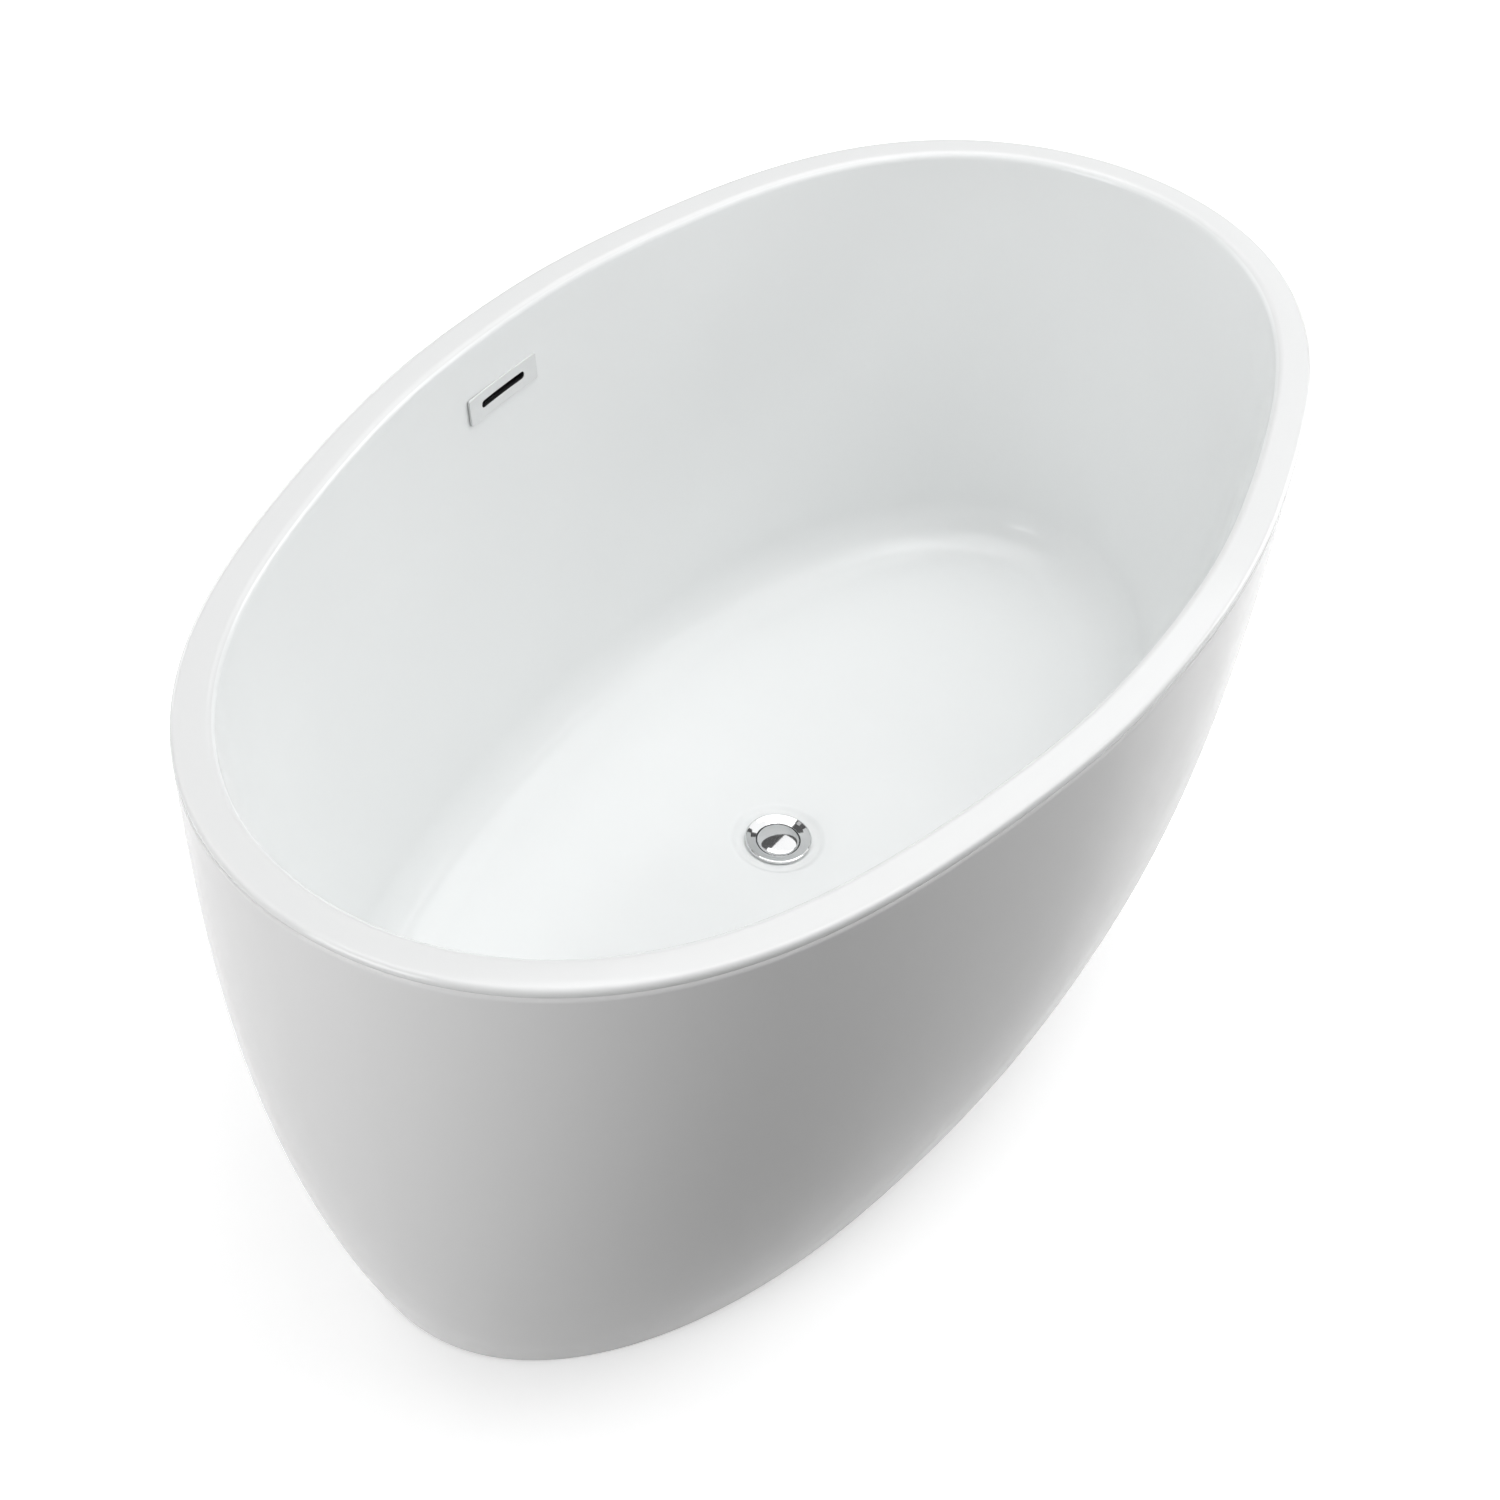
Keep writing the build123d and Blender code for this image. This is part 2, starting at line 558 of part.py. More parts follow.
# ---------------------------------------------------------------- tee below the drain, tailpiece and nuts
TAIL_R = 19.05           # lower end, where the trap is pushed on
TAIL_TOP_R = 18.6        # drawn-down upper end, inside the nut and the tee
Z_BRANCH = 68.0
PIPE_R, PIPE_IN = 10.0, 8.0
with BuildPart() as drain_tee:
    with BuildSketch(Plane.XZ):
        with BuildLine():
            Polyline(*ring_of([(TAIL_R + RUN, 45.0), (23.5, 45.0), (23.5, 57.0), (27.0, 60.0), (27.0, 84.0), (29.0, 87.0),
                               (29.0, 111.0), (BODY_R + RUN, 111.0), (BODY_R + RUN, 90.0), (18.0, 90.0), (18.0, 62.0),
                               (TAIL_R + RUN, 62.0)]), close=True)
        make_face()
    revolve(axis=WASTE)
    with BuildSketch(Plane.XZ.offset(-22.0)):
        with Locations((X_WASTE, Z_BRANCH)):
            Circle(14.0)
    extrude(amount=-40.0)
    with BuildSketch(Plane.XZ.offset(-12.0)):
        with Locations((X_WASTE, Z_BRANCH)):
            Circle(PIPE_IN)
    extrude(amount=-50.0, mode=Mode.SUBTRACT)
    with BuildSketch(Plane.XZ.offset(-38.0)):
        with Locations((X_WASTE, Z_BRANCH)):
            Circle(PIPE_R + RUN)
    extrude(amount=-30.0, mode=Mode.SUBTRACT)
drain_tee.part.label = "drain_tee"
export_step(drain_tee.part, "parts/drain_tee.step")

with BuildPart() as tailpiece:
    with BuildSketch(Plane.XY.offset(12.0)):
        with Locations((X_WASTE, 0)):
            Circle(TAIL_R)
            Circle(TAIL_R - 1.6, mode=Mode.SUBTRACT)
    extrude(amount=27.5)
    with BuildSketch(Plane.XY.offset(39.5)):
        with Locations((X_WASTE, 0)):
            Circle(TAIL_TOP_R)
            Circle(TAIL_R - 1.6, mode=Mode.SUBTRACT)
    extrude(amount=22.0)
tailpiece.part.label = "tailpiece"
export_step(tailpiece.part, "parts/tailpiece.step")

with BuildPart() as slip_washer:
    with BuildSketch(Plane.XY.offset(42.6)):
        with Locations((X_WASTE, 0)):
            Circle(23.4)
            Circle(TAIL_TOP_R + RUN, mode=Mode.SUBTRACT)
    extrude(amount=2.4)
slip_washer.part.label = "slip_washer"
export_step(slip_washer.part, "parts/slip_washer.step")

with BuildPart() as slip_nut:
    with BuildSketch(Plane.XY.offset(40.0)):
        with Locations((X_WASTE, 0)):
            RegularPolygon(28.0, 12, major_radius=False)
    extrude(amount=13.0)
    with BuildSketch(Plane.XY.offset(42.6)):
        with Locations((X_WASTE, 0)):
            Circle(23.5 + RUN)
    extrude(amount=14.0, mode=Mode.SUBTRACT)
    with BuildSketch(Plane.XY.offset(39.0)):
        with Locations((X_WASTE, 0)):
            Circle(TAIL_R + 0.2)
    extrude(amount=5.0, mode=Mode.SUBTRACT)
slip_nut.part.label = "slip_nut"
export_step(slip_nut.part, "parts/slip_nut.step")

with BuildPart() as branch_washer:
    with BuildSketch(Plane.XZ.offset(-62.0)):
        with Locations((X_WASTE, Z_BRANCH)):
            Circle(13.9)
            Circle(PIPE_R + RUN, mode=Mode.SUBTRACT)
    extrude(amount=-2.4)
branch_washer.part.label = "branch_washer"
export_step(branch_washer.part, "parts/branch_washer.step")

with BuildPart() as branch_nut:
    with BuildSketch(Plane.XZ.offset(-50.0)):
        with Locations((X_WASTE, Z_BRANCH)):
            RegularPolygon(17.5, 8, major_radius=False)
    extrude(amount=-17.0)
    with BuildSketch(Plane.XZ.offset(-49.0)):
        with Locations((X_WASTE, Z_BRANCH)):
            Circle(14.0 + RUN)
    extrude(amount=-15.4, mode=Mode.SUBTRACT)
    with BuildSketch(Plane.XZ.offset(-49.0)):
        with Locations((X_WASTE, Z_BRANCH)):
            Circle(PIPE_R + 0.2)
    extrude(amount=-20.0, mode=Mode.SUBTRACT)
branch_nut.part.label = "branch_nut"
export_step(branch_nut.part, "parts/branch_nut.step")

# ---------------------------------------------------------------- overflow: plate, gasket, box, nuts and pipe
PLATE_W, PLATE_H, PLATE_T = 94.0, 25.0, 3.0
PLATE_GAP = 1.6
with BuildPart() as overflow_plate:
    with BuildSketch(OVER.offset(PLATE_GAP)):
        RectangleRounded(PLATE_W, PLATE_H, 1.6)
    extrude(amount=PLATE_T)
    fillet(overflow_plate.faces().sort_by(lambda f: f.center().Y)[0].edges(), radius=0.6)
    with BuildSketch(OVER.offset(PLATE_GAP - 1.0)):
        SlotOverall(60.0, 7.0)
    extrude(amount=PLATE_T + 3.0, mode=Mode.SUBTRACT)
    with BuildSketch(OVER.offset(PLATE_GAP + 0.5)):
        with Locations((-39.0, 0), (39.0, 0)):
            Circle(2.0)
    extrude(amount=-(PLATE_GAP + 0.5 + 16.0))
overflow_plate.part.label = "overflow_plate"
export_step(overflow_plate.part, "parts/overflow_plate.step")

with BuildPart() as overflow_gasket:
    with BuildSketch(OVER.offset(-T_WALL - 0.9)):
        RectangleRounded(90.0, 30.0, 4.0)
        SlotOverall(62.0, 14.0, mode=Mode.SUBTRACT)
        with Locations((-39.0, 0), (39.0, 0)):
            Circle(2.4, mode=Mode.SUBTRACT)
    extrude(amount=-2.6)
overflow_gasket.part.label = "overflow_gasket"
export_step(overflow_gasket.part, "parts/overflow_gasket.step")

BOX_FRONT = -T_WALL - 3.5
SPIGOT_Y = 330.0
with BuildPart() as overflow_box:
    with BuildSketch(OVER.offset(BOX_FRONT)):
        RectangleRounded(90.0, 30.0, 4.0)
        with Locations((-39.0, 0), (39.0, 0)):
            Circle(2.4, mode=Mode.SUBTRACT)
    extrude(amount=-2.0)
    with BuildSketch(OVER.offset(BOX_FRONT)):
        RectangleRounded(66.0, 26.0, 5.0)
    extrude(amount=-18.0)
    with BuildSketch(Plane.XY.offset(468.0)):
        with Locations((X_WASTE, SPIGOT_Y)):
            Circle(12.0)
    extrude(amount=40.0)
    with BuildSketch(OVER.offset(BOX_FRONT)):
        with Locations((0, -24.0)):
            Rectangle(40.0, 80.0)
    extrude(amount=10.0, mode=Mode.SUBTRACT)
    with BuildSketch(OVER.offset(BOX_FRONT + 1.0)):
        RectangleRounded(61.0, 21.0, 3.0)
    extrude(amount=-16.5, mode=Mode.SUBTRACT)
    with BuildSketch(Plane.XY.offset(467.0)):
        with Locations((X_WASTE, SPIGOT_Y)):
            Circle(PIPE_IN)
    extrude(amount=45.0, mode=Mode.SUBTRACT)
    with BuildSketch(Plane.XY.offset(467.0)):
        with Locations((X_WASTE, SPIGOT_Y)):
            Circle(PIPE_R + RUN)
    extrude(amount=24.0, mode=Mode.SUBTRACT)
overflow_box.part.label = "overflow_box"
export_step(overflow_box.part, "parts/overflow_box.step")

with BuildPart() as overflow_nuts:
    with BuildSketch(OVER.offset(BOX_FRONT - 2.0)):
        with Locations((-39.0, 0), (39.0, 0)):
            RegularPolygon(3.5, 6, major_radius=False)
            Circle(2.0 + RUN, mode=Mode.SUBTRACT)
    extrude(amount=-3.2)
overflow_nuts.part.label = "overflow_nuts"
export_step(overflow_nuts.part, "parts/overflow_nuts.step")

with BuildPart() as overflow_pipe:
    with BuildLine(Plane.YZ.offset(X_WASTE)) as route:
        FilletPolyline((SPIGOT_Y, 490.0), (SPIGOT_Y, 448.0), (314.0, 310.0), (262.0, Z_BRANCH), (39.0, Z_BRANCH), radius=45.0)
    with BuildSketch(Plane(origin=(X_WASTE, SPIGOT_Y, 490.0), z_dir=(0, 0, -1))):
        Circle(PIPE_R)
        Circle(PIPE_IN, mode=Mode.SUBTRACT)
    sweep(path=route.wires()[0])
overflow_pipe.part.label = "overflow_pipe"
export_step(overflow_pipe.part, "parts/overflow_pipe.step")
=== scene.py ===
import json
import math

import bpy
import numpy as np
from mathutils import Matrix, Vector


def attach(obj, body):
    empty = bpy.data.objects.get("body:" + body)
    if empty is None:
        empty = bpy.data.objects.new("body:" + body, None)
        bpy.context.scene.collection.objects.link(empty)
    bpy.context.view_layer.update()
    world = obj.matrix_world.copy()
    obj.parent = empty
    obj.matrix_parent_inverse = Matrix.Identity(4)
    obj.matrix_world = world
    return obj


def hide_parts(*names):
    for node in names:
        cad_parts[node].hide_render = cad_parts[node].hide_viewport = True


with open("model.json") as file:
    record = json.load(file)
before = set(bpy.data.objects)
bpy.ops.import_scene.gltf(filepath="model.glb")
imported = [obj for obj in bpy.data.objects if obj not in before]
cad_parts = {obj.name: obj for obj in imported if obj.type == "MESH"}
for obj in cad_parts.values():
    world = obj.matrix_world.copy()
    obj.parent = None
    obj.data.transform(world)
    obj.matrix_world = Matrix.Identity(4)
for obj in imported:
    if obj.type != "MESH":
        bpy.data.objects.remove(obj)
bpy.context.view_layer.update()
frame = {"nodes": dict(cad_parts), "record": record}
NODES = frame["nodes"]
MM = 0.001

# ------------------------------------------------------------------ shape of the tub, in mm
L_RIM, W_RIM, H_RIM, RIM_W, RIM_T = 1200.0, 700.0, 580.0, 30.0, 6.0
T_WALL, T_FLOOR, Z_FLOOR = 5.0, 6.0, 141.0
FLOOR_A, FLOOR_B = 490.0, 210.0
R_CORNER, PHI_END, WALL_POW = 55.0, 80.0, 1.3
BASE_A, BASE_B, BASE_N, SKIRT_POW = 523.0, 261.0, 2.05, 2.85
Z_SKIRT, LIP_W = 2.0, 25.0
C4, C6, C8 = 0.0304, -0.0023, -0.0037
C2 = (math.log(L_RIM / W_RIM) - 2 * C6) / 2
X_WASTE = 12.0
N = 384
TH = np.arange(N) * 2 * np.pi / N


def rim_line():
    e = C2 * np.cos(2 * TH) + C4 * np.cos(4 * TH) + C6 * np.cos(6 * TH) + C8 * np.cos(8 * TH)
    r = L_RIM / 2 * np.exp(e - C2 - C4 - C6 - C8)
    return np.c_[r * np.cos(TH), r * np.sin(TH)]


def oval(a, b, n):
    r = ((np.abs(np.cos(TH)) / a) ** n + (np.abs(np.sin(TH)) / b) ** n) ** (-1.0 / n)
    return np.c_[r * np.cos(TH), r * np.sin(TH)]


def offset(p, w):
    t = np.roll(p, -1, 0) - np.roll(p, 1, 0)
    t /= np.linalg.norm(t, axis=1)[:, None]
    return p + w * np.c_[t[:, 1], -t[:, 0]]


def mix(p, q, k):
    return p * (1 - k) + q * k


RIM = rim_line()
OPEN = offset(RIM, -RIM_W)
BASE = oval(BASE_A, BASE_B, BASE_N)
FLOOR = oval(FLOOR_A, FLOOR_B, 2.0)
SIN_E, COS_E = math.sin(math.radians(PHI_END)), math.cos(math.radians(PHI_END))
Z_WALL0 = Z_FLOOR + R_CORNER * (1 - COS_E)
LOW_WALL = offset(FLOOR, R_CORNER * SIN_E)


def skirt_line(z, inward=0.0):
    return offset(mix(RIM, BASE, (1 - z / H_RIM) ** SKIRT_POW), -inward)


def basin_line(z):
    s = (z - Z_WALL0) / (H_RIM - Z_WALL0)
    return mix(OPEN, LOW_WALL, max(0.0, 1 - s) ** WALL_POW)


def circle(r, cx=X_WASTE):
    return np.c_[cx + r * np.cos(TH), r * np.sin(TH)]


def ring(line, z):
    return np.c_[line, np.full(len(line), z)]


# ------------------------------------------------------------------ mesh helpers
def grid_mesh(name, rings, mats, mat_of=None, closed_profile=True):
    """A closed surface through a list of rings with the same number of points."""
    m, n = len(rings), len(rings[0])
    co = np.concatenate(rings) * MM
    i = np.arange(m if closed_profile else m - 1)[:, None]
    j = np.arange(n)[None, :]
    i2, j2 = (i + 1) % m, (j + 1) % n
    quads = np.stack([i * n + j, i * n + j2, i2 * n + j2, i2 * n + j], -1).reshape(-1, 4)
    me = bpy.data.meshes.new(name)
    me.vertices.add(len(co))
    me.vertices.foreach_set("co", co.ravel())
    me.loops.add(quads.size)
    me.loops.foreach_set("vertex_index", quads.ravel().astype(np.int32))
    me.polygons.add(len(quads))
    me.polygons.foreach_set("loop_start", (np.arange(len(quads)) * 4).astype(np.int32))
    me.polygons.foreach_set("use_smooth", np.ones(len(quads), bool))
    for mt in mats:
        me.materials.append(mt)
    if mat_of is not None:
        idx = np.repeat(np.array([mat_of(k) for k in range(len(i))], np.int32), n)
        me.polygons.foreach_set("material_index", idx)
    me.update(calc_edges=True)
    me.validate()
    ob = bpy.data.objects.new(name, me)
    bpy.context.scene.collection.objects.link(ob)
    return ob


def profile_z(cx, cy, pts, seg=96):
    """Rings round a vertical axis from (radius, height) points."""
    a = np.arange(seg) * 2 * np.pi / seg
    return [np.c_[cx + r * np.cos(a), cy + r * np.sin(a), np.full(seg, z)] for r, z in pts]


def rounded(points, radii, steps=6):
    """Polyline with rounded corners. radii: one per point, 0 keeps it sharp."""
    out = []
    n = len(points)
    for k in range(n):
        p = np.array(points[k], float)
        r = radii[k]
        if r <= 0 or k in (0, n - 1):
            out.append(tuple(p))
            continue
        a, b = np.array(points[k - 1], float), np.array(points[k + 1], float)
        u, v = (a - p), (b - p)
        lu, lv = np.linalg.norm(u), np.linalg.norm(v)
        u, v = u / lu, v / lv
        ang = math.acos(max(-1, min(1, float(u @ v))))
        d = min(r / math.tan(ang / 2), lu * 0.49, lv * 0.49)
        rr = d * math.tan(ang / 2)
        c = p + (u + v) / np.linalg.norm(u + v) * (rr / math.sin(ang / 2))
        s, e = p + u * d - c, p + v * d - c
        tot = math.acos(max(-1, min(1, float(s @ e) / (rr * rr))))
        sgn = 1 if s[0] * e[1] - s[1] * e[0] > 0 else -1
        for q in range(steps + 1):
            t = sgn * tot * q / steps
            out.append((c[0] + s[0] * math.cos(t) - s[1] * math.sin(t), c[1] + s[0] * math.sin(t) + s[1] * math.cos(t)))
    return out


# ------------------------------------------------------------------ material helpers
def new_mat(name):
    m = bpy.data.materials.new(name)
    m.use_nodes = True
    nt = m.node_tree
    bsdf = next(n for n in nt.nodes if n.type == "BSDF_PRINCIPLED")
    return m, nt, bsdf


def tex_coord(nt, scale=(1, 1, 1)):
    tc = nt.nodes.new("ShaderNodeTexCoord")
    mp = nt.nodes.new("ShaderNodeMapping")
    mp.inputs["Scale"].default_value = scale
    nt.links.new(tc.outputs["Object"], mp.inputs["Vector"])
    return mp.outputs["Vector"]


def noise(nt, vec, scale, detail=4.0, rough=0.5):
    n = nt.nodes.new("ShaderNodeTexNoise")
    n.inputs["Scale"].default_value = scale
    n.inputs["Detail"].default_value = detail
    n.inputs["Roughness"].default_value = rough
    nt.links.new(vec, n.inputs["Vector"])
    return n.outputs["Fac"]


def ramp(nt, fac, stops):
    r = nt.nodes.new("ShaderNodeValToRGB")
    el = r.color_ramp.elements
    while len(el) < len(stops):
        el.new(0.5)
    for e, (p, c) in zip(el, stops):
        e.position = p
        e.color = (*c, 1) if len(c) == 3 else c
    nt.links.new(fac, r.inputs["Fac"])
    return r.outputs["Color"]


def rng(nt, fac, a, b, lo=0.0, hi=1.0):
    m = nt.nodes.new("ShaderNodeMapRange")
    m.inputs["From Min"].default_value = lo
    m.inputs["From Max"].default_value = hi
    m.inputs["To Min"].default_value = a
    m.inputs["To Max"].default_value = b
    nt.links.new(fac, m.inputs["Value"])
    return m.outputs["Result"]


def bump(nt, height, strength, dist, normal=None):
    b = nt.nodes.new("ShaderNodeBump")
    b.inputs["Strength"].default_value = strength
    b.inputs["Distance"].default_value = dist
    nt.links.new(height, b.inputs["Height"])
    if normal is not None:
        nt.links.new(normal, b.inputs["Normal"])
    return b.outputs["Normal"]


def acrylic(name, base, rough=(0.10, 0.16), ripple=0.00002):
    """Polished sanitary acrylic: almost even white, a faint cloudiness, a very slight pull in the reflections."""
    m, nt, b = new_mat(name)
    v = tex_coord(nt)
    cloud = noise(nt, v, 3.0, 3.0)
    lo = tuple(c * 0.985 for c in base)
    nt.links.new(ramp(nt, cloud, [(0.35, lo), (0.65, base)]), b.inputs["Base Color"])
    nt.links.new(rng(nt, noise(nt, v, 14.0, 5.0, 0.6), rough[0], rough[1], 0.3, 0.7), b.inputs["Roughness"])
    wave = noise(nt, v, 6.0, 2.0)
    nt.links.new(bump(nt, wave, 0.5, ripple * 20), b.inputs["Normal"])
    b.inputs["IOR"].default_value = 1.49
    b.inputs["Coat Weight"].default_value = 0.0
    return m


def fibreglass(name):
    """Back of the shells: rolled chopped-strand glass in resin."""
    m, nt, b = new_mat(name)
    v = tex_coord(nt)
    strands = nt.nodes.new("ShaderNodeTexVoronoi")
    strands.feature = "DISTANCE_TO_EDGE"
    strands.inputs["Scale"].default_value = 60.0
    warp = nt.nodes.new("ShaderNodeVectorMath"); warp.operation = "ADD"
    nz = nt.nodes.new("ShaderNodeTexNoise"); nz.inputs["Scale"].default_value = 25.0
    sc = nt.nodes.new("ShaderNodeVectorMath"); sc.operation = "SCALE"; sc.inputs["Scale"].default_value = 0.06
    nt.links.new(v, nz.inputs["Vector"]); nt.links.new(nz.outputs["Color"], sc.inputs[0])
    nt.links.new(v, warp.inputs[0]); nt.links.new(sc.outputs[0], warp.inputs[1])
    nt.links.new(warp.outputs[0], strands.inputs["Vector"])
    f = rng(nt, strands.outputs["Distance"], 0.0, 1.0, 0.0, 0.25)
    nt.links.new(ramp(nt, f, [(0.0, (0.80, 0.77, 0.66)), (0.5, (0.70, 0.67, 0.55)), (1.0, (0.62, 0.59, 0.47))]), b.inputs["Base Color"])
    nt.links.new(rng(nt, noise(nt, v, 30.0, 4.0), 0.38, 0.62), b.inputs["Roughness"])
    n1 = bump(nt, f, 0.5, 0.0006)
    nt.links.new(bump(nt, noise(nt, v, 90.0, 6.0, 0.6), 0.4, 0.0006, n1), b.inputs["Normal"])
    return m


def chrome(name, base=(0.70, 0.705, 0.71), rough=(0.04, 0.08)):
    m, nt, b = new_mat(name)
    v = tex_coord(nt)
    b.inputs["Metallic"].default_value = 1.0
    lo = tuple(c * 0.96 for c in base)
    nt.links.new(ramp(nt, noise(nt, v, 40.0, 3.0), [(0.3, lo), (0.7, base)]), b.inputs["Base Color"])
    nt.links.new(rng(nt, noise(nt, v, 220.0, 5.0, 0.65), rough[0], rough[1], 0.3, 0.7), b.inputs["Roughness"])
    nt.links.new(bump(nt, noise(nt, v, 500.0, 3.0), 0.12, 0.00002), b.inputs["Normal"])
    return m


def metal(name, base, rough, scale=180.0, stretch=(1, 1, 1), bump_d=0.00006, var=0.82, spangle=None):
    m, nt, b = new_mat(name)
    v = tex_coord(nt, stretch)
    b.inputs["Metallic"].default_value = 1.0
    lo = tuple(c * var for c in base)
    f = noise(nt, v, scale, 6.0, 0.6)
    if spangle:
        vo = nt.nodes.new("ShaderNodeTexVoronoi")
        vo.inputs["Scale"].default_value = spangle
        nt.links.new(v, vo.inputs["Vector"])
        sep = nt.nodes.new("ShaderNodeSeparateColor")
        nt.links.new(vo.outputs["Color"], sep.inputs["Color"])
        f2 = sep.outputs["Red"]
        nt.links.new(ramp(nt, f2, [(0.0, lo), (1.0, base)]), b.inputs["Base Color"])
    else:
        nt.links.new(ramp(nt, f, [(0.3, lo), (0.7, base)]), b.inputs["Base Color"])
    nt.links.new(rng(nt, f, rough[0], rough[1], 0.3, 0.7), b.inputs["Roughness"])
    nt.links.new(bump(nt, f, 0.35, bump_d), b.inputs["Normal"])
    return m


def powder_coat(name, base):
    m, nt, b = new_mat(name)
    v = tex_coord(nt)
    lo = tuple(c * 0.75 for c in base)
    nt.links.new(ramp(nt, noise(nt, v, 18.0, 5.0), [(0.35, lo), (0.65, base)]), b.inputs["Base Color"])
    nt.links.new(rng(nt, noise(nt, v, 60.0, 4.0), 0.38, 0.52), b.inputs["Roughness"])
    peel = noise(nt, v, 700.0, 2.0)
    nt.links.new(bump(nt, peel, 0.5, 0.00012), b.inputs["Normal"])
    return m


def plywood(name):
    m, nt, b = new_mat(name)
    tc = nt.nodes.new("ShaderNodeTexCoord")
    mp = nt.nodes.new("ShaderNodeMapping")
    mp.inputs["Scale"].default_value = (2.2, 26.0, 26.0)
    nt.links.new(tc.outputs["Object"], mp.inputs["Vector"])
    grain = noise(nt, mp.outputs["Vector"], 3.0, 8.0, 0.62)
    face = ramp(nt, grain, [(0.30, (0.47, 0.31, 0.17)), (0.50, (0.66, 0.48, 0.29)), (0.72, (0.76, 0.60, 0.40))])
    sep = nt.nodes.new("ShaderNodeSeparateXYZ")
    nt.links.new(tc.outputs["Object"], sep.inputs["Vector"])
    ply = nt.nodes.new("ShaderNodeMath"); ply.operation = "MULTIPLY"; ply.inputs[1].default_value = 2 * math.pi / 0.0052
    nt.links.new(sep.outputs["Z"], ply.inputs[0])
    sn = nt.nodes.new("ShaderNodeMath"); sn.operation = "SINE"
    nt.links.new(ply.outputs[0], sn.inputs[0])
    edge = ramp(nt, rng(nt, sn.outputs[0], 0, 1, -1, 1), [(0.35, (0.36, 0.22, 0.12)), (0.55, (0.74, 0.57, 0.37))])
    geo = nt.nodes.new("ShaderNodeNewGeometry")
    sn2 = nt.nodes.new("ShaderNodeSeparateXYZ")
    nt.links.new(geo.outputs["Normal"], sn2.inputs["Vector"])
    ab = nt.nodes.new("ShaderNodeMath"); ab.operation = "ABSOLUTE"
    nt.links.new(sn2.outputs["Z"], ab.inputs[0])
    mx = nt.nodes.new("ShaderNodeMix"); mx.data_type = "RGBA"
    nt.links.new(rng(nt, ab.outputs[0], 0, 1, 0.4, 0.6), mx.inputs["Factor"])
    nt.links.new(edge, mx.inputs["A"]); nt.links.new(face, mx.inputs["B"])
    nt.links.new(mx.outputs["Result"], b.inputs["Base Color"])
    nt.links.new(rng(nt, grain, 0.55, 0.78), b.inputs["Roughness"])
    nt.links.new(bump(nt, grain, 0.5, 0.0005), b.inputs["Normal"])
    return m


def moulded(name, base, rough=(0.35, 0.5), grain=900.0, depth=0.00004, cloud=0.9):
    m, nt, b = new_mat(name)
    v = tex_coord(nt)
    lo = tuple(c * cloud for c in base)
    nt.links.new(ramp(nt, noise(nt, v, 25.0, 4.0), [(0.35, lo), (0.65, base)]), b.inputs["Base Color"])
    nt.links.new(rng(nt, noise(nt, v, 70.0, 5.0), rough[0], rough[1], 0.3, 0.7), b.inputs["Roughness"])
    nt.links.new(bump(nt, noise(nt, v, grain, 2.0), 0.4, depth), b.inputs["Normal"])
    return m


M_ACRYLIC = acrylic("acrylic_white", (0.895, 0.908, 0.908), (0.14, 0.20))
# painted shade: the rim takes a darker copy of the basin's own acrylic, so the flat rim and its rounded edges read
# dimmer than the floor inside
M_RIM_PAINTED_SHADE = acrylic("acrylic_rim_painted_shade", (0.835, 0.842, 0.842), (0.10, 0.16))
M_SKIRT = acrylic("acrylic_skirt", (0.895, 0.895, 0.895), (0.14, 0.20))
M_SKIRT.node_tree.nodes["Principled BSDF"].inputs["Specular IOR Level"].default_value = 0.20
M_PLATE = acrylic("plate_white", (0.790, 0.802, 0.802), (0.16, 0.24))
M_GLASS = fibreglass("fibreglass_back")
M_CHROME = chrome("chrome_polished")
M_CHROME2 = chrome("chrome_tube", (0.80, 0.805, 0.81), (0.08, 0.16))
M_ZINC = metal("zinc_plated", (0.66, 0.67, 0.69), (0.28, 0.45))
M_BRASS = metal("brass_turned", (0.80, 0.63, 0.33), (0.22, 0.36), 260.0, (1, 1, 14))
M_STEEL = powder_coat("frame_powder_coat", (0.055, 0.055, 0.06))
M_PLY = plywood("plywood")
M_RUBBER = moulded("rubber_black", (0.035, 0.035, 0.037), (0.6, 0.78), 600.0, 0.0001, 0.7)
M_BLACK = moulded("plastic_black", (0.045, 0.045, 0.048), (0.4, 0.55), 900.0, 0.00006, 0.75)
M_GREY = moulded("plastic_grey", (0.46, 0.47, 0.49), (0.38, 0.5))
M_PIPE = moulded("pipe_plastic", (0.80, 0.80, 0.78), (0.26, 0.38), 500.0, 0.00003, 0.95)
M_BOND = moulded("bond_resin", (0.70, 0.66, 0.50), (0.4, 0.6), 120.0, 0.0008, 0.85)

SLOT_MAT = {"acrylic": M_ACRYLIC, "trim_white": M_PLATE, "bond": M_BOND, "plywood": M_PLY, "frame_steel": M_STEEL, "zinc": M_ZINC,
            "rubber": M_RUBBER, "black_plastic": M_BLACK, "grey_plastic": M_GREY, "pipe_plastic": M_PIPE, "brass": M_BRASS,
            "chrome": M_CHROME, "chrome_tube": M_CHROME2}
for sp in frame["record"]["subparts"]:
    ob = NODES[sp["node"]]
    ob.data.materials.clear()
    ob.data.materials.append(SLOT_MAT[sp["material_slot"]])

# ------------------------------------------------------------------ basin with its rim
LIP_R, EDGE_R = 7.0, 4.4
rings, kind = [], []


def put(r, k=0):
    rings.append(r)
    kind.append(k)


def arc(c, r, a0, a1, n):
    return [(c[0] + r * math.cos(math.radians(a0 + (a1 - a0) * k / n)), c[1] + r * math.sin(math.radians(a0 + (a1 - a0) * k / n))) for k in range(n + 1)]


